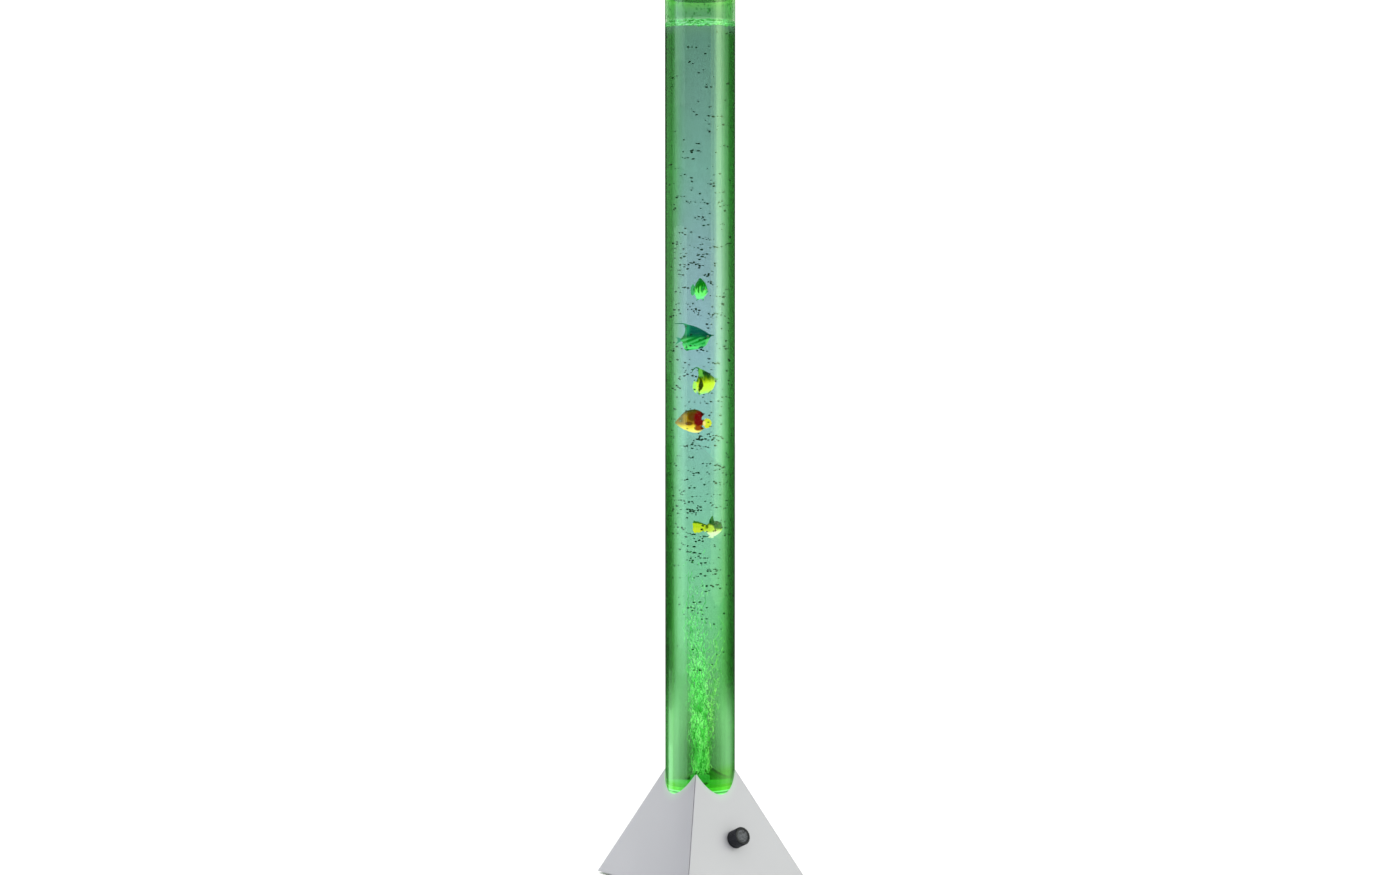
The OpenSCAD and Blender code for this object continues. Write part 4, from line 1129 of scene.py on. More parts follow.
def whisker(points, r0, r1, sides=8, steps=5):
    """Closed tapering thread along points."""
    p = smooth_table(points, steps)
    n = len(p)
    verts, faces = [], []
    for i in range(n):
        d = p[min(i + 1, n - 1)] - p[max(i - 1, 0)]
        d /= np.linalg.norm(d)
        a = np.cross(d, (0, 1, 0))
        a /= max(np.linalg.norm(a), 1e-9)
        b = np.cross(d, a)
        r = r0 + (r1 - r0) * i / (n - 1)
        for k in range(sides):
            t = 2 * math.pi * k / sides
            verts.append(tuple(p[i] + r * (math.cos(t) * a + math.sin(t) * b)))
    for i in range(n - 1):
        for k in range(sides):
            j = (k + 1) % sides
            faces.append((i * sides + k, i * sides + j, (i + 1) * sides + j, (i + 1) * sides + k))
    faces.append(tuple(reversed(range(sides))))
    faces.append(tuple((n - 1) * sides + k for k in range(sides)))
    return verts, faces


RIGHT = np.array((math.cos(VIEW_AZ), -math.sin(VIEW_AZ), 0.0))
DEEP = np.array((math.sin(VIEW_AZ), math.cos(VIEW_AZ), 0.0))
# where the fish stand at rest, and where each is at the two ends of its drift: (side, depth, height, half height)
FISH_BOXES = [(0, 0, 794, 15), (-6, 0, 728, 17), (4, 0, 669, 17), (-6, 0, 617, 15), (5, 0, 475, 15),
              (0, 0, 783, 15), (0, 0, 1124, 15), (-6, 0, 721, 17), (-6, 0, 740, 17), (4, 0, 663, 17), (4, 0, 676, 17),
              (-6, 0, 565, 15), (-6, 0, 624, 15), (5, 0, 527, 15)]


def clear_of_fish(p, size):
    for s, d, z, h in FISH_BOXES:
        q = RIGHT * s + DEEP * d
        if abs(p[2] - z) < h + size and math.hypot(p[0] - q[0], p[1] - q[1]) < 19 + size:
            return False
    return True


def build_bubbles():
    rnd = random.Random(41)
    ball = unit_ball(8, 14)
    spots = []
    # (from, to, number): bubbles go up in loose rows and alone
    for z0, z1, n in ((1040, 1136, 34), (940, 1040, 52), (860, 940, 74), (780, 860, 96), (660, 780, 140), (540, 660, 170), (430, 540, 165), (340, 430, 74), (285, 340, 10)):
        k = 0
        tries = 0
        while k < n and tries < 6000:
            tries += 1
            z = rnd.uniform(z0, z1)
            side = rnd.uniform(-35.0, 37.0) if rnd.random() < 0.72 else rnd.gauss(5.0, 11.0)
            depth = rnd.uniform(-38.0, 3.0) if rnd.random() < 0.74 else rnd.uniform(3.0, 36.0)
            if math.hypot(side, depth) > 40.0:
                continue
            way = rnd.uniform(0, 2 * math.pi)
            for step in range(rnd.choice((1, 1, 1, 2, 3))):
                ps, pd = side + 5.2 * step * math.cos(way), depth + 3.0 * step * math.sin(way)
                if math.hypot(ps, pd) > 40.0:
                    break
                p = RIGHT * ps + DEEP * pd + np.array((0, 0, z + rnd.gauss(0, 0.9)))
                big = rnd.uniform(0.6, 1.0) if pd > 3.0 else rnd.uniform(1.1, 1.75) if rnd.random() < 0.7 else rnd.uniform(0.7, 1.1)
                if p[2] > 1137 or not clear_of_fish(p, big) or any(np.linalg.norm(p - q) < b + big + 0.5 for q, b in spots):
                    continue
                spots.append((p, big))
                k += 1
    places = []
    for p, big in spots:
        flat = rnd.uniform(0.55, 0.74)
        long = rnd.uniform(0.90, 1.20)
        m = turn(rnd.gauss(0, 0.16), rnd.gauss(0, 0.16), rnd.uniform(0, 2 * math.pi)) @ np.diag((big * long, big, big * flat))
        places.append((m, p))
    swarm("bubbles", places, ball, BUBBLE)

    # fine stream over the air stone: trails of small bubbles that wander as they rise
    fine = unit_ball(5, 8)
    verts, faces = [], []

    def add(part):
        o = len(verts)
        verts.extend(tuple(map(float, q)) for q in part[0])
        faces.extend(tuple(q + o for q in f) for f in part[1])

    def wander(a, r, drift, ph, z, group):
        t = (z - 139.0) / 150.0
        u = min(max(t, 0.0), 1.4)
        spread = (1.05 - 0.15 * u) if group == 0 else (0.90 + 0.75 * u)
        x = r * math.cos(a) * spread + drift[0] * 2.6 * t + 2.0 * math.sin(z * 0.15 + ph[0]) * (0.4 + 0.5 * t) + 1.0 * math.sin(z * 0.43 + ph[1])
        y = r * math.sin(a) * spread + drift[1] * 2.6 * t + 2.0 * math.sin(z * 0.14 + ph[2]) * (0.4 + 0.5 * t) + 1.0 * math.sin(z * 0.39 + ph[3])
        side = RIGHT * ((0.5 - 4.0 * u) if group == 0 else (2.0 + 8.0 * u))
        return np.array((x + side[0], y + side[1], z))

    for s in range(150):
        group = 0 if s < 96 else 1
        a, r = rnd.uniform(0, 2 * math.pi), 9.2 * math.sqrt(rnd.random())
        drift = (rnd.gauss(0, 1), rnd.gauss(0, 1))
        ph = [rnd.uniform(0, 6.3) for _ in range(4)]
        if group == 0:
            top = rnd.choice((rnd.uniform(240, 300), rnd.uniform(290, 360), rnd.uniform(320, 455)))
        else:
            top = rnd.choice((rnd.uniform(190, 270), rnd.uniform(260, 350)))
        z = 139.4 + rnd.uniform(0, 10)
        while z < top:
            run = rnd.uniform(4.0, 14.0)
            if rnd.random() < 0.66:
                n = max(3, int(run / 2.2) + 1)
                pts = [wander(a, r, drift, ph, z + run * i / (n - 1), group) for i in range(n)]
                thick = rnd.uniform(0.16, 0.36)
                add(whisker(pts, thick * rnd.uniform(0.5, 1.0), thick * rnd.uniform(0.4, 1.0), sides=6, steps=2))
            else:
                for _ in range(rnd.choice((1, 2, 2, 3))):
                    q = wander(a, r, drift, ph, z + rnd.uniform(0, run), group)
                    size = rnd.uniform(0.28, 0.60)
                    m = turn(rnd.gauss(0, 0.4), rnd.gauss(0, 0.4), rnd.uniform(0, 6.28)) @ np.diag((size, size, size * rnd.uniform(0.8, 1.7)))
                    add((fine[0] @ m.T + q, fine[1]))
            z += run + rnd.uniform(0.8, 5.5) * (1.0 + 2.6 * max(0.0, (z - 300.0) / 120.0))
    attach(make("bubble_stream", verts, faces, mats=[STREAM], sharp=None), "root")

    # foam on the water
    froth = []
    for _ in range(560):
        if rnd.random() < 0.6:
            r = 43.6 - abs(rnd.gauss(0, 2.2))
        else:
            r = 42.0 * math.sqrt(rnd.random())
        a = rnd.uniform(0, 2 * math.pi)
        size = rnd.uniform(0.55, 1.7)
        r = min(r, 43.7 - size)
        x, y = r * math.cos(a), r * math.sin(a)
        froth.append((turn(0, 0, a) @ np.diag((size, size, size * rnd.uniform(0.6, 0.9))), np.array((x, y, surface_z(x, y) + size * rnd.uniform(-0.5, 0.35)))))
    swarm("foam", froth, fine, FOAM)

    # droplets on the wall over the water
    drops = []
    for _ in range(150):
        a, z = rnd.uniform(0, 2 * math.pi), rnd.uniform(1153.0, 1178.0)
        size = rnd.uniform(0.35, 1.25)
        m = np.array(Matrix.Rotation(a, 3, "Z")) @ np.diag((size * 0.45, size, size * rnd.uniform(1.0, 2.2)))
        drops.append((m, np.array(((43.9) * math.cos(a), (43.9) * math.sin(a), z))))
    swarm("condensation", drops, fine, DROP)


build_bubbles()


# ------------------------------------------------------------------ fish
# Local frame of a fish, in millimetres: +X the snout, +Z up, Y across.
def along(points, n):
    """n points evenly spaced on a smooth curve through the given ones."""
    p = smooth_table(points, 6)
    d = np.concatenate([[0.0], np.cumsum(np.linalg.norm(np.diff(p, axis=0), axis=1))])
    want = np.linspace(0, d[-1], n)
    return np.stack([np.interp(want, d, p[:, k]) for k in range(p.shape[1])], axis=1)


def fish_body(rows, around=28, steps=5, keel=0.0):
    """Closed body from rows (x, upper edge, lower edge, half-width)."""
    s = smooth_table(rows, steps)
    verts, faces = [], []
    for x, up, lo, w in s:
        zc, h = (up + lo) / 2, max((up - lo) / 2, 0.15)
        w = max(w, 0.15)
        for k in range(around):
            a = 2 * math.pi * k / around
            c, sn = math.cos(a), math.sin(a)
            # fuller at the sides, pinched to the back and belly
            y = w * math.copysign(abs(c) ** 0.86, c)
            z = zc + h * math.copysign(abs(sn) ** 1.04, sn)
            verts.append((x, y, z))
    m = len(s)
    for i in range(m - 1):
        for k in range(around):
            j = (k + 1) % around
            faces.append((i * around + k, i * around + j, (i + 1) * around + j, (i + 1) * around + k))
    faces.append(tuple(range(around)))
    faces.append(tuple((m - 1) * around + k for k in reversed(range(around))))
    return verts, faces


def fin(base, edge, nu=22, nv=7, t0=0.55, t1=0.16, rays=9, bow=0.0, scallop=0.0, hollow=0.0):
    """Closed thin fin between its base line and its free edge. Points are (x, y, z); bow curves it sideways,
    hollow draws its last edge in."""
    b, e = along(base, nu), along(edge, nu)
    grid = np.zeros((nu, nv, 3))
    for v in range(nv):
        t = v / (nv - 1)
        grid[:, v] = b * (1 - t) + e * t
    if scallop:
        u = np.arange(nu) / (nu - 1)
        pull = 1 - scallop * (0.5 - 0.5 * np.cos(2 * math.pi * u * rays))
        for v in range(nv):
            t = v / (nv - 1)
            grid[:, v] = b + (e - b) * t * (1 + (pull[:, None] - 1) * t)
    if hollow:
        u = np.arange(nu) / (nu - 1)
        for v in range(nv):
            grid[:, v, 0] += hollow * math.sin(math.pi * v / (nv - 1)) * u**5
    du = np.gradient(grid, axis=0)
    dv = np.gradient(grid, axis=1)
    nrm = np.cross(du, dv)
    nrm /= np.maximum(np.linalg.norm(nrm, axis=2, keepdims=True), 1e-9)
    if bow:
        for v in range(nv):
            grid[:, v] += nrm[:, v] * bow * math.sin(math.pi * 0.5 * v / (nv - 1))
    verts, faces = [], []
    for side in (1, -1):
        for i in range(nu):
            for v in range(nv):
                t = v / (nv - 1)
                u = i / (nu - 1)
                th = t0 * (1 - t) + t1 * t
                th *= 1 + 0.55 * (0.5 + 0.5 * math.cos(2 * math.pi * u * rays))
                th *= 0.35 + 0.65 * math.sin(math.pi * min(max(u, 0.02), 0.98)) ** 0.5
                verts.append(tuple(grid[i, v] + nrm[i, v] * side * th * 0.5))
    half = nu * nv

    def at(i, v, s):
        return (0 if s == 1 else half) + i * nv + v

    for i in range(nu - 1):
        for v in range(nv - 1):
            faces.append((at(i, v, 1), at(i + 1, v, 1), at(i + 1, v + 1, 1), at(i, v + 1, 1)))
            faces.append((at(i, v, -1), at(i, v + 1, -1), at(i + 1, v + 1, -1), at(i + 1, v, -1)))
    rim = [(i, 0) for i in range(nu)] + [(nu - 1, v) for v in range(1, nv)] + [(i, nv - 1) for i in range(nu - 2, -1, -1)] + [(0, v) for v in range(nv - 2, 0, -1)]
    for k in range(len(rim)):
        a, c = rim[k], rim[(k + 1) % len(rim)]
        faces.append((at(*a, 1), at(*a, -1), at(*c, -1), at(*c, 1)))
    return verts, faces


def lump(center, radii, rings=10, segs=16):
    v, f = unit_ball(rings, segs)
    return (v * np.array(radii) + np.array(center)).tolist(), f


IDOL = dict(
    body=[(20, 4.2, 3.5, 0.3), (18, 4.7, 3.0, 0.6), (16.2, 5.3, 1.2, 1.0), (14.6, 6.0, -3.6, 1.8), (12.6, 7.6, -8.2, 2.8), (9.5, 9.8, -11.8, 4.0),
          (5.5, 11.6, -14.0, 4.9), (1, 12.2, -14.8, 5.2), (-3.5, 11.0, -14.4, 4.8), (-7.5, 8.0, -11.8, 3.7), (-10.6, 3.8, -7.6, 2.2),
          (-13.0, 0.6, -4.4, 1.1), (-14.4, -0.8, -3.6, 0.8)],
    fins=[
        # sail on the back
        dict(base=[(13.4, 0, 6.0), (6, 0, 10.6), (0, 0, 11.6), (-7, 0, 8.0), (-12.8, 0, 0.6)],
             edge=[(13.9, 0, 7.0), (10.8, 0, 9.6), (4.5, 0, 13.8), (-2.5, 0, 17.2), (-10.9, 0, 19.5)], rays=14, nu=48, nv=12, hollow=2.6),
        # anal fin
        dict(base=[(3, 0, -14.0), (-3, 0, -13.9), (-7.5, 0, -11.4), (-11.6, 0, -6.2)],
             edge=[(1.5, 0, -15.0), (-4.0, 0, -15.8), (-8.6, 0, -16.4), (-12.4, 0, -8.0)], rays=9, nu=28, nv=8),
        # belly spike in front
        dict(base=[(11.4, 0, -8.8), (9.4, 0, -10.8)], edge=[(7.4, 0, -15.4), (6.3, 0, -16.0)], rays=2, nu=10, nv=8, t0=1.3, t1=0.4),
        # tail
        dict(base=[(-13.2, 0, -0.6), (-14.3, 0, -2.2), (-13.2, 0, -4.0)],
             edge=[(-19.6, 0, 2.0), (-17.8, 0, -0.8), (-17.2, 0, -2.8), (-18.4, 0, -5.4), (-20.2, 0, -8.6)], rays=8, nu=30, nv=9),
    ],
    threads=[([(-8.0, 0, 18.7), (-13, 0, 19.7), (-17, 0, 19.9), (-20.5, 0, 19.4)], 0.85, 0.40)],
    eye=(13.6, 2.5, 2.6, 1.25), mouth=(19.8, 3.9, 0.8), pectoral=(8.2, -2.6),
)

# the same shape with a drooping tail and a bent filament
IDOL_DROOP = dict(
    IDOL,
    fins=IDOL["fins"][:3] + [
        dict(base=[(-12.6, 0, 0.2), (-14.0, 0, -3.0), (-12.0, 0, -6.0)],
             edge=[(-17.0, 0, 2.2), (-19.4, 0, -2.4), (-19.8, 0, -7.0), (-17.6, 0, -11.6), (-13.2, 0, -14.8)], rays=10, nu=34, nv=9),
    ],
    threads=[([(-8.6, 0, 18.9), (-13, 0, 19.7), (-17, 0, 18.4), (-21.0, 0, 15.2)], 0.95, 0.50)],
)

BUTTERFLY = dict(
    body=[(19.6, -1.7, -2.9, 0.4), (17.8, 1.4, -5.0, 1.2), (15.2, 4.8, -7.6, 2.3), (11.5, 8.2, -10.6, 3.6), (7, 10.9, -12.8, 4.7), (2, 12.2, -13.6, 5.2),
          (-2.5, 10.8, -12.0, 4.7), (-5.8, 6.4, -8.6, 3.2), (-8.0, 1.6, -5.8, 1.8), (-10.4, 0.2, -5.0, 1.2)],
    fins=[
        dict(base=[(14.0, 0, 5.6), (8, 0, 9.9), (2, 0, 11.6), (-4, 0, 8.4), (-7.6, 0, 2.0)],
             edge=[(13.2, 0, 7.8), (9, 0, 12.7), (2.3, 0, 15.3), (-4.6, 0, 14.6), (-10.4, 0, 9.0)], rays=14, nu=44, nv=11, t0=1.2, t1=0.3, hollow=1.0),
        dict(base=[(8, 0, -11.8), (2, 0, -13.0), (-4, 0, -10.4), (-7.6, 0, -6.0)],
             edge=[(6.5, 0, -13.4), (1, 0, -15.4), (-5.0, 0, -15.0), (-10.2, 0, -9.4)], rays=10, nu=34, nv=9, t0=1.1, t1=0.3, hollow=0.8),
        dict(base=[(-9.2, 0, 0.6), (-10.2, 0, -2.4), (-9.2, 0, -5.4)],
             edge=[(-11.6, 0, 3.6), (-15.6, 0, 2.6), (-17.8, 0, -2.6), (-15.8, 0, -8.0), (-11.8, 0, -9.8)], rays=9, nu=34, nv=9, t0=0.9, t1=0.3),
    ],
    threads=[], eye=(14.4, 2.7, 0.0, 1.2), mouth=(19.4, -2.3, 0.9), pectoral=(8.4, -3.0),
)

ANGEL = dict(
    body=[(19.4, -3.0, -4.4, 0.4), (16.5, -2.2, -5.4, 0.8), (13.4, -0.2, -6.8, 1.9), (10.8, 4.2, -8.4, 3.5), (7, 9.0, -10.6, 4.8), (2.5, 12.2, -12.0, 5.3),
          (-2, 11.4, -11.6, 4.9), (-5.6, 7.4, -9.6, 3.5), (-8.2, 3.0, -6.8, 1.9), (-10.2, 0.5, -5.0, 0.9)],
    fins=[
        dict(base=[(8.4, 0, 7.0), (2.5, 0, 11.4), (-3, 0, 10.2), (-8, 0, 3.2)],
             edge=[(7.9, 0, 9.2), (2.2, 0, 13.9), (-2.6, 0, 13.2), (-9.4, 0, 4.4)], rays=12, nu=40, nv=9, t0=1.0, t1=0.3),
        dict(base=[(6, 0, -10.4), (0, 0, -11.6), (-6, 0, -9.0), (-9.4, 0, -5.4)],
             edge=[(5, 0, -12.8), (0, 0, -13.7), (-6, 0, -13.8), (-10.9, 0, -7.0)], rays=9, nu=32, nv=8, t0=1.0, t1=0.3),
        dict(base=[(-9.4, 0, 0.8), (-10.2, 0, -2.2), (-9.4, 0, -5.2)],
             edge=[(-14.5, 0, 6.6), (-18.2, 0, 3.2), (-19.2, 0, -1.6), (-18.8, 0, -6.0), (-16.2, 0, -9.4)], rays=10, nu=36, nv=9, t0=0.9, t1=0.3),
        dict(base=[(3.4, 2.6, -11.4), (0.6, 2.7, -11.8)], edge=[(-0.2, 4.0, -15.8), (-1.2, 4.0, -15.9)], rays=2, nu=10, nv=8, t0=1.2, t1=0.4),
        dict(base=[(3.4, -2.6, -11.4), (0.6, -2.7, -11.8)], edge=[(-0.2, -4.0, -15.8), (-1.2, -4.0, -15.9)], rays=2, nu=10, nv=8, t0=1.2, t1=0.4),
    ],
    threads=[], eye=(13.4, 2.3, -1.2, 1.15), mouth=(19.2, -3.8, 0.9), pectoral=(7.4, -3.6),
)

FANTAIL = dict(
    body=[(19.9, 1.0, -3.2, 0.8), (18.8, 3.4, -6.4, 2.3), (16.4, 5.8, -9.6, 4.0), (13, 6.9, -12.2, 5.2), (9.6, 6.9, -13.4, 5.4), (6.4, 5.4, -12.2, 4.6),
          (3.8, 3.4, -8.8, 3.2), (1.8, 2.2, -5.2, 1.9), (0.2, 1.8, -3.4, 1.1)],
    fins=[
        dict(base=[(10.8, 0, 6.6), (7.8, 0, 6.2), (5.2, 0, 4.6)], edge=[(9.6, 0, 14.2), (8.4, 0, 13.6), (6.0, 0, 9.2)], rays=4, nu=20, nv=9, t0=1.1, t1=0.4),
        dict(base=[(10.6, 0.8, -12.2), (7.6, 1.2, -12.0)], edge=[(8.6, 2.8, -15.6), (5.4, 2.6, -15.2)], rays=3, nu=12, nv=8),
        dict(base=[(10.6, -0.8, -12.2), (7.6, -1.2, -12.0)], edge=[(8.6, -2.8, -15.6), (5.4, -2.6, -15.2)], rays=3, nu=12, nv=8),
        dict(base=[(1.6, 0.4, 2.4), (0.4, 0.4, -0.6), (1.6, 0.4, -3.8)],
             edge=[(-13.6, 0.6, 8.6), (-15.8, 0.6, 4.6), (-15.0, 0.6, 0.4), (-15.6, 0.6, -3.8), (-12.6, 0.6, -8.4)], rays=12, nu=46, nv=11, t0=1.1, t1=0.3, bow=0.9),
        dict(base=[(1.6, -0.4, 2.4), (0.4, -0.4, -0.6), (1.6, -0.4, -3.8)],
             edge=[(-13.0, -2.6, 8.0), (-15.2, -3.0, 4.0), (-14.4, -3.0, 0.2), (-15.0, -3.0, -3.6), (-12.2, -2.6, -8.0)], rays=12, nu=46, nv=11, t0=1.1, t1=0.3, bow=-0.7),
    ],
    threads=[], eye=(15.8, 3.7, -0.4, 1.3), mouth=(19.7, -1.2, 1.0), pectoral=(10.0, -4.6),
)


def seen(z, colour):
    """The light a fish at height z (mm) gives off to look like colour (0 to 255) through water and wall, halved."""
    rows = ((475, (0.44, 0.75, 0.59)), (617, (0.47, 0.68, 0.64)), (669, (0.48, 0.64, 0.66)), (728, (0.48, 0.61, 0.66)), (794, (0.47, 0.59, 0.64)))
    dims = [np.interp(z, [r[0] for r in rows], [r[1][i] for r in rows]) for i in range(3)]
    return tuple(min(1.0, 0.5 * c / d) for c, d in zip(lin(*colour), dims))


def fish_coat(name, slot_name, height, rows_top_to_belly, marks=(), stripes=None, jag=0.0012, band=None):
    """Painted plastic fish: shaded from back to belly, with marks. Its colour is also given off as a painted glow that
    stands for the green light round it.

    rows_top_to_belly: (height from -16 to 20 mm, colour). marks: (x, z, rx, rz, colour, strength) soft spots.
    Colours are given as they look in the water.
    """
    k = Look(name, rough=0.35)
    x, y, z = k.xyz()
    mott = k.noise(300.0, 3.0, 0.6)
    upright = k.noise(620.0, 2.0, 0.5, vector=k.scaled(1.0, 1.0, 0.10))
    lift = k.math("ADD", k.math("MULTIPLY", k.math("SUBTRACT", mott, 0.5), 0.004), k.math("MULTIPLY", k.math("SUBTRACT", upright, 0.5), jag * 4.0))
    h = k.span(k.math("ADD", z, lift), -0.016, 0.020)
    col = k.ramp(h, *[((zz + 16.0) / 36.0, seen(height, c)) for zz, c in rows_top_to_belly])
    if stripes:
        scale, tilt, c, amount, low, high = stripes
        v = k.node("ShaderNodeMapping")
        k.feed(v.inputs["Vector"], k.at)
        v.inputs["Rotation"].default_value = (0.0, tilt, 0.0)
        w = k.wave(scale, "Z", 1.6, 2.0, vector=v.outputs[0])
        inside = k.math("MULTIPLY", k.span(z, low, low + 0.003), k.span(z, high, high - 0.003))
        col = k.mix(k.math("MULTIPLY", k.math("MULTIPLY", k.span(w, 0.40, 0.70), inside), amount), col, seen(height, c))
    if band:
        bx, mid_z, reach, width, c = band  # an upright band that tapers to both ends
        taper = k.span(k.math("ABSOLUTE", k.math("SUBTRACT", k.math("ADD", z, lift), mid_z * MM)), reach * MM, 0.0)
        dist = k.math("ABSOLUTE", k.math("SUBTRACT", x, bx * MM))
        soft = k.span(k.math("SUBTRACT", k.math("MULTIPLY", taper, width * MM), dist), -0.0004, 0.0006)
        col = k.mix(soft, col, seen(height, c))
    for mx, mz, rx, rz, c, amount in marks:
        dx = k.math("DIVIDE", k.math("SUBTRACT", x, mx * MM), rx * MM)
        dz = k.math("DIVIDE", k.math("SUBTRACT", z, mz * MM), rz * MM)
        d = k.math("SQRT", k.math("ADD", k.math("MULTIPLY", dx, dx), k.math("MULTIPLY", dz, dz)))
        d = k.math("ADD", d, k.math("MULTIPLY", k.math("SUBTRACT", mott, 0.5), 0.7))
        col = k.mix(k.math("MULTIPLY", k.span(d, 1.15, 0.78), amount), col, seen(height, c))
    # most of the colour is given as a painted glow; the base colour is dimmed to 0.14
    k.set("color", k.mix(1.0, col, (0.14, 0.14, 0.14), "MULTIPLY"))
    k.set("glow", col).set("power", 2.12)
    scales = k.cells(900.0, vector=k.scaled(1.0, 0.6, 1.0))
    k.set("rough", k.span(mott, 0.2, 0.8, 0.28, 0.48))
    k.set("normal", k.bump(scales, 0.35, 0.0002))
    k.set("spec", 0.06)
    LOOKS[slot_name] = k.m
    return k.m


EYE_WHITE = Look("fish_eye", rough=0.12)
EYE_WHITE.set("color", EYE_WHITE.ramp(EYE_WHITE.noise(900.0), (0.3, (0.65, 0.6, 0.3)), (0.7, (0.85, 0.82, 0.55)))).set("coat", 1.0)
# painted glow on the eye
EYE_WHITE.set("glow", (0.5, 0.6, 0.2)).set("power", 0.2)
EYE_BLACK = Look("fish_pupil", rough=0.06)
EYE_BLACK.set("color", EYE_BLACK.ramp(EYE_BLACK.noise(900.0), (0.3, (0.004, 0.004, 0.005)), (0.7, (0.010, 0.010, 0.012)))).set("coat", 1.0)


def build_fish(n, kind, coat, side, deep, z, yaw, slim=1.0):
    verts, faces, mats = [], [], []

    def add(part, index):
        v, f = part
        o = len(verts)
        verts.extend(tuple(map(float, p)) for p in v)
        faces.extend(tuple(a + o for a in q) for q in f)
        mats.extend([index] * len(f))

    add(fish_body(kind["body"]), 0)
    for spec in kind["fins"]:
        add(fin(**spec), 0)
    for pts, r0, r1 in kind["threads"]:
        add(whisker(pts, r0, r1), 0)
    ex, ey, ez, er = kind["eye"]
    mx, mz, mr = kind["mouth"]
    px, pz = kind["pectoral"]
    for s in (1, -1):
        add(lump((ex, s * (ey - 0.45), ez), (er, er * 0.75, er)), 1)
        add(lump((ex + 0.12, s * (ey + 0.18), ez), (er * 0.52, er * 0.42, er * 0.52)), 2)
        w = kind["body"][4][3] * 0.86
        add(fin(base=[(px, s * w, pz + 1.6), (px - 0.4, s * w, pz), (px - 0.2, s * w, pz - 1.6)],
                edge=[(px - 4.6, s * (w + 2.3), pz + 2.9), (px - 6.0, s * (w + 2.9), pz + 0.2), (px - 5.0, s * (w + 2.6), pz - 3.1)],
                rays=6, nu=22, nv=8, t0=0.5, t1=0.2), 0)
    for s in (0.45, -0.45):
        add(lump((mx - 0.5, 0, mz + s), (0.75, mr * 0.62, 0.42), 8, 12), 0)
    # gill line: a low ridge behind the head
    for s in (1, -1):
        w = kind["body"][3][3]
        add(whisker([(ex - 3.2, s * w * 0.90, ez + 2.6), (ex - 4.4, s * w * 1.22, ez - 0.8), (ex - 3.4, s * w * 1.02, ez - 4.4)], 0.28, 0.16), 0)
    verts = [(slim * p[0], p[1], p[2]) for p in verts]
    o = make("fish_%d_painted" % n, verts, faces, sharp=62.0, mats=[coat, EYE_WHITE.m, EYE_BLACK.m], mat_index=mats)
    outward(o)
    at = RIGHT * side + DEEP * deep + np.array((0, 0, z))
    o.matrix_world = Matrix.Translation(Vector(at) * MM) @ Matrix.Rotation(-VIEW_AZ + math.radians(yaw), 4, "Z")
    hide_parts("fish_%d" % n)
    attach(o, "swimmer_%d" % n)
    return o


coat_1 = fish_coat("fish_green", "fish_green", 794,
                   [(-16, (60, 190, 95)), (-13.5, (125, 250, 160)), (-9, (115, 255, 130)), (-3.0, (110, 250, 105)), (0.5, (60, 185, 55)), (2.0, (5, 110, 5)),
                    (7, (5, 120, 12)), (11, (5, 105, 30)), (20, (25, 120, 60))],
                   marks=[(-13.5, -1.0, 5.0, 9.0, (62, 160, 100), 0.9), (-17.0, -8.4, 3.2, 2.2, (20, 115, 60), 0.95), (-9.6, -1.0, 1.8, 2.4, (0, 95, 5), 0.8),
                          (17.4, -4.0, 4.2, 3.0, (50, 150, 95), 0.95), (0.0, -15.2, 3.0, 1.6, (25, 120, 60), 0.9),
                          (-4.6, -0.6, 1.1, 5.0, (0, 100, 5), 0.95), (0.6, 0.0, 1.0, 3.6, (0, 100, 5), 0.9), (5.0, -1.2, 1.1, 5.0, (10, 115, 15), 0.9), (9.4, -1.0, 1.2, 4.6, (30, 150, 60), 0.85)],
                   jag=0.0060)
coat_2 = fish_coat("fish_teal", "fish_teal", 728,
                   [(-16, (30, 160, 70)), (-13.5, (85, 235, 120)), (-11, (92, 215, 112)), (-8.5, (40, 175, 78)), (-5.5, (8, 140, 35)), (-1.5, (0, 118, 35)), (1.5, (0, 112, 48)),
                    (4.0, (0, 95, 60)), (8, (0, 78, 68)), (13, (5, 92, 74)), (20, (15, 110, 85))],
                   marks=[(-9.0, 12.5, 5.0, 8.5, (30, 150, 95), 0.75), (13.5, 4.2, 6.0, 2.6, (0, 70, 55), 0.85), (-18.0, -2.5, 4.2, 7.5, (35, 135, 120), 0.9),
                          (8.0, -13.6, 3.6, 3.4, (0, 78, 55), 0.97), (-8.6, -15.6, 4.4, 1.8, (0, 125, 50), 0.9), (14.0, -5.5, 2.6, 5.0, (120, 230, 135), 0.6)],
                   stripes=(58.0, 0.5, (70, 200, 105), 0.72, -0.012, 0.002))
coat_3 = fish_coat("fish_yellow", "fish_yellow", 669,
                   [(-16, (150, 240, 140)), (-13, (195, 250, 110)), (-9, (205, 250, 70)), (-2.0, (205, 245, 40)), (1.5, (175, 205, 5)), (5.0, (100, 140, 0)),
                    (8.0, (40, 90, 5)), (11, (8, 62, 12)), (14, (10, 80, 20)), (20, (70, 160, 50))],
                   jag=0.0030,
                   band=(-8.6, -3.5, 11.5, 3.0, (45, 62, 0)),
                   marks=[(-6.5, 13.0, 4.0, 6.0, (110, 195, 70), 0.85), (-12.0, 7.0, 1.5, 7.5, (25, 115, 20), 0.9), (-17.0, -5.5, 3.8, 8.0, (165, 240, 110), 0.9),
                          (8.0, -13.8, 3.2, 3.0, (60, 130, 20), 0.9), (16.6, 4.0, 4.0, 2.4, (45, 135, 15), 0.9), (-14.5, 17.5, 6.0, 3.0, (30, 110, 70), 0.95),
                          (-10.0, -15.2, 3.2, 1.5, (30, 110, 40), 0.9)])
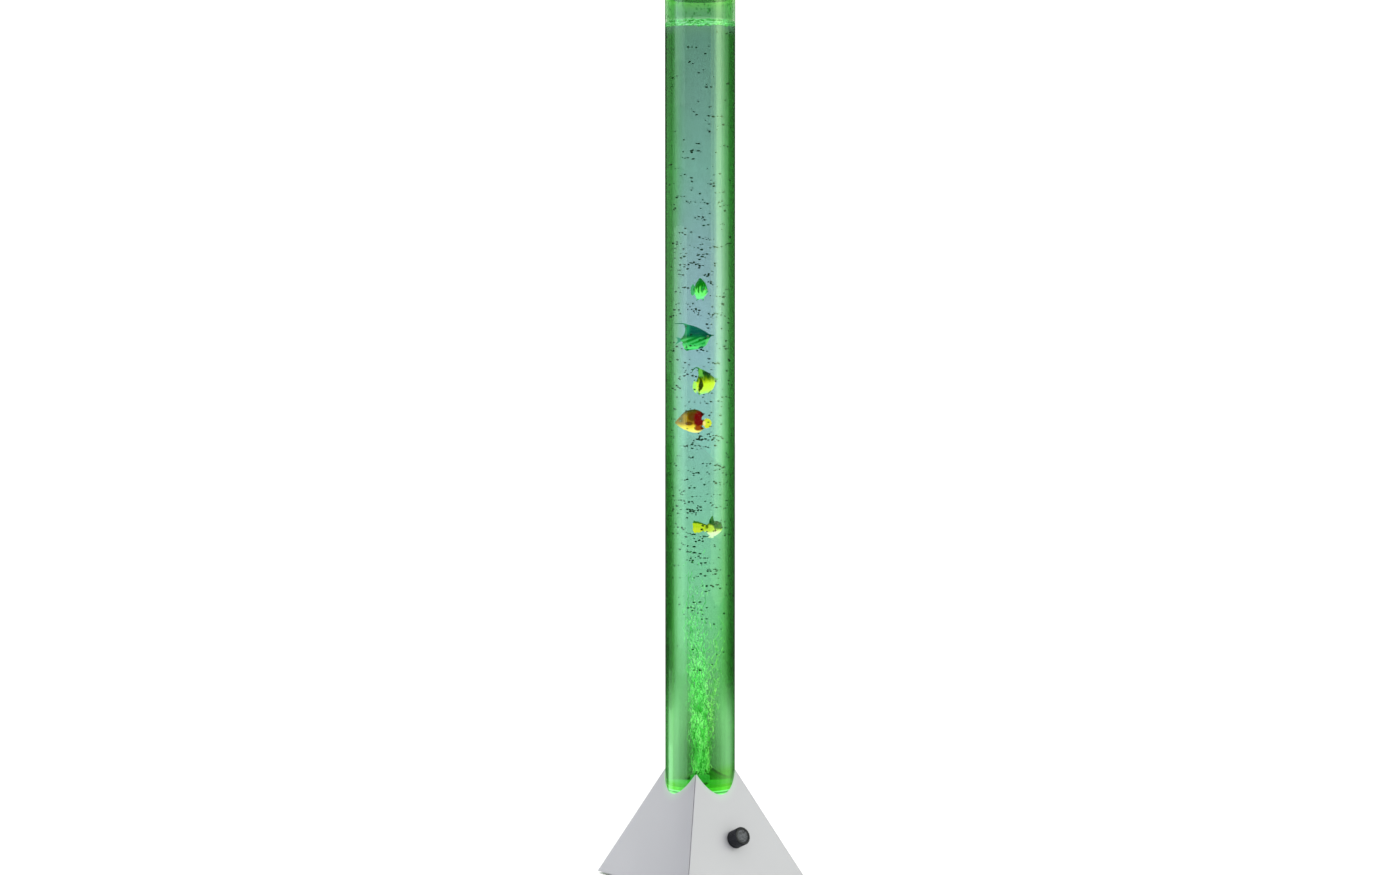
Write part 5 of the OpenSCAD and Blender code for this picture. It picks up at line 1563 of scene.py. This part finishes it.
coat_4 = fish_coat("fish_orange", "fish_orange", 617,
                   [(-16, (250, 240, 160)), (-13.5, (255, 250, 130)), (-10, (250, 240, 85)), (-6.5, (235, 210, 55)), (-3.5, (175, 135, 20)), (2, (138, 104, 5)),
                    (7, (125, 98, 12)), (11, (92, 82, 8)), (13.5, (58, 62, 5)), (20, (75, 85, 15))],
                   marks=[(9.4, 3.5, 2.6, 6.0, (170, 140, 12), 0.8), (13.0, 2.0, 1.6, 4.0, (110, 100, 20), 0.8), (1.4, 6.0, 4.8, 6.4, (90, 54, 2), 0.95),
                          (-5.0, 2.4, 5.6, 11.6, (112, 0, 6), 1.0), (-4.6, -9.6, 4.2, 3.6, (150, 62, 5), 0.97), (-8.2, -8.6, 1.8, 3.2, (80, 25, 0), 0.9),
                          (5.4, -3.0, 4.0, 2.8, (98, 62, 2), 0.97), (-8.6, 10.2, 2.2, 3.2, (50, 6, 0), 0.95), (-10.9, 5.6, 1.3, 4.2, (235, 195, 175), 0.9),
                          (-14.6, -3.0, 5.0, 8.0, (208, 228, 45), 1.0), (-10.3, -3.2, 1.6, 3.4, (250, 225, 130), 0.95)])
coat_5 = fish_coat("fish_lime", "fish_lime", 475,
                   [(-16, (190, 240, 170)), (-12, (220, 255, 205)), (-7.5, (228, 255, 185)), (-5, (200, 240, 100)), (-3.4, (100, 145, 15)), (-1.8, (20, 88, 0)),
                    (3, (0, 78, 0)), (7, (0, 76, 4)), (11, (40, 115, 40)), (20, (10, 90, 30))],
                   marks=[(4.4, -2.5, 3.6, 5.5, (185, 225, 60), 0.9), (-9.0, 0.0, 9.4, 11.5, (178, 218, 30), 0.97), (-11.0, -4.0, 5.0, 3.4, (198, 222, 45), 0.8),
                          (-13.0, 7.4, 3.6, 2.2, (30, 110, 20), 0.95), (-8.4, 5.8, 3.6, 2.0, (50, 105, 5), 0.95), (-3.6, 4.2, 3.4, 1.8, (50, 100, 5), 0.95),
                          (1.4, 1.4, 1.4, 4.0, (75, 105, 5), 0.9), (9.0, -5.4, 1.7, 1.5, (80, 45, 0), 0.97), (14.5, 0.5, 2.6, 2.0, (60, 135, 15), 0.6)])

build_fish(1, ANGEL, coat_1, 0, 0, 794, -58, 0.84)
build_fish(2, IDOL, coat_2, -6, 0, 728, 4)
build_fish(3, IDOL_DROOP, coat_3, 4, 0, 669, 52)
build_fish(4, BUTTERFLY, coat_4, -6, 0, 617, 176)
build_fish(5, FANTAIL, coat_5, 5, 0, 475, 40)


# ------------------------------------------------------------------ floor, world and lights
def build_floor():
    bm = bmesh.new()
    bmesh.ops.create_grid(bm, x_segments=24, y_segments=24, size=9.0)
    me = bpy.data.meshes.new("floor")
    bm.to_mesh(me)
    bm.free()
    o = bpy.data.objects.new("floor", me)
    scene.collection.objects.link(o)
    k = Look("floor_pale", rough=0.75)
    k.set("color", k.ramp(k.noise(3.0, 3.0, 0.5), (0.3, (0.86, 0.86, 0.86)), (0.7, (0.88, 0.88, 0.88))))
    k.set("spec", 0.1)
    k.set("glow", (1.0, 1.0, 1.0)).set("power", 0.10)
    o.data.materials.append(k.m)
    o.visible_glossy = False


build_floor()

world = bpy.data.worlds.new("studio")
scene.world = world
world.use_nodes = True
wt = world.node_tree
wt.nodes.clear()
w_out = wt.nodes.new("ShaderNodeOutputWorld")
w_bg = wt.nodes.new("ShaderNodeBackground")
wt.links.new(w_bg.outputs[0], w_out.inputs["Surface"])
w_path = wt.nodes.new("ShaderNodeLightPath")
w_mul = wt.nodes.new("ShaderNodeMath")
w_mul.operation = "MULTIPLY"
wt.links.new(w_path.outputs["Is Reflection Ray"], w_mul.inputs[0])
wt.links.new(w_path.outputs["Is Glossy Ray"], w_mul.inputs[1])
w_mix = wt.nodes.new("ShaderNodeMix")
w_mix.data_type = "FLOAT"
wt.links.new(w_mul.outputs[0], w_mix.inputs[0])
w_mix.inputs[2].default_value = 1.18   # the bright studio itself
w_mix.inputs[3].default_value = 0.07   # what polished surfaces mirror of it, apart from the lamps
wt.links.new(w_mix.outputs[0], w_bg.inputs["Strength"])
w_bg.inputs["Color"].default_value = (1.0, 1.0, 1.0, 1.0)
world.cycles.sampling_method = "NONE"


def softbox(name, azimuth, distance, height, size_x, size_y, power, aim_z=0.6, diffuse=True, glossy=True, color=(1.0, 1.0, 1.0)):
    """A soft lamp at an azimuth in degrees round the object, aimed at its axis."""
    data = bpy.data.lights.new(name, "AREA")
    data.shape = "RECTANGLE"
    data.size, data.size_y = size_x, size_y
    data.energy = power
    data.color = color
    o = bpy.data.objects.new(name, data)
    scene.collection.objects.link(o)
    a = math.radians(azimuth)
    o.location = (distance * math.cos(a), distance * math.sin(a), height)
    o.rotation_mode = "QUATERNION"
    o.rotation_quaternion = (Vector((0, 0, aim_z)) - Vector(o.location)).to_track_quat("-Z", "Y")
    o.visible_camera = False
    o.visible_transmission = False
    o.visible_diffuse = diffuse
    o.visible_glossy = glossy
    return o


# strips that the tube mirrors, in nested soft-edged layers: (azimuth, from, to, width, radiance)
for i, (azimuth, low, high, width, radiance) in enumerate((
        (-65.5, 0.72, 1.80, 0.42, 2.0), (-65.5, 0.56, 1.80, 0.66, 2.0), (-65.0, 0.42, 1.80, 1.00, 2.0), (-64.0, 0.25, 1.80, 1.60, 1.7), (-66.0, 0.10, 1.80, 2.60, 1.2),
        (163.0, -0.50, 0.42, 1.00, 1.6), (163.0, -0.55, 0.70, 1.70, 1.6), (163.0, -0.60, 0.95, 2.40, 1.3),
        (-40.0, 0.45, 1.80, 1.70, 0.6), (-36.0, 0.80, 1.80, 1.00, 0.4),
        (159.4, 1.40, 1.75, 1.10, 1.5), (160.0, 1.32, 1.75, 1.50, 0.8), (160.6, 1.22, 1.75, 1.90, 0.6), (161.2, 1.08, 1.75, 1.90, 0.35), (154.0, 1.18, 1.75, 0.90, 0.35), (152.0, 1.04, 1.75, 0.55, 0.25), (165.0, -0.06, 0.62, 1.50, 0.9), (166.0, 0.00, 0.50, 1.00, 0.8),
        (120.0, -0.60, 0.04, 1.30, 0.5), (118.8, -0.60, -0.05, 1.30, 0.8), (117.6, -0.60, -0.14, 1.20, 1.1), (116.4, -0.60, -0.22, 1.10, 1.3), (106.0, 0.62, 1.80, 1.30, 0.28), (108.0, 0.46, 1.80, 1.30, 0.24))):
    tall = high - low
    softbox("strip_%d" % (i + 1), azimuth, 2.5, (low + high) / 2, width, tall, radiance * math.pi * width * tall, (low + high) / 2, diffuse=False,
            color=(0.95, 0.95, 1.5) if azimuth > 150.0 else (0.6, 1.05, 0.7) if azimuth > 0 else (0.7, 1.1, 0.7) if azimuth > -50.0 else (1.0, 1.0, 0.85))
# light on the base
softbox("base_front", -75.0, 1.5, 0.9, 0.8, 0.8, 10.0, 0.1, glossy=False)
softbox("base_left", 144.0, 0.43, 0.25, 0.22, 0.22, 0.55, 0.06, glossy=False)

scene.view_settings.view_transform = "Standard"
scene.view_settings.look = "None"
scene.view_settings.exposure = 0.0
scene.view_settings.gamma = 1.0
scene.cycles.max_bounces = 24
scene.cycles.transmission_bounces = 24
scene.cycles.glossy_bounces = 6
scene.cycles.diffuse_bounces = 4
scene.cycles.transparent_max_bounces = 12
scene.cycles.caustics_reflective = False
scene.cycles.caustics_refractive = True
scene.cycles.blur_glossy = 0.4
scene.cycles.sample_clamp_indirect = 6.0
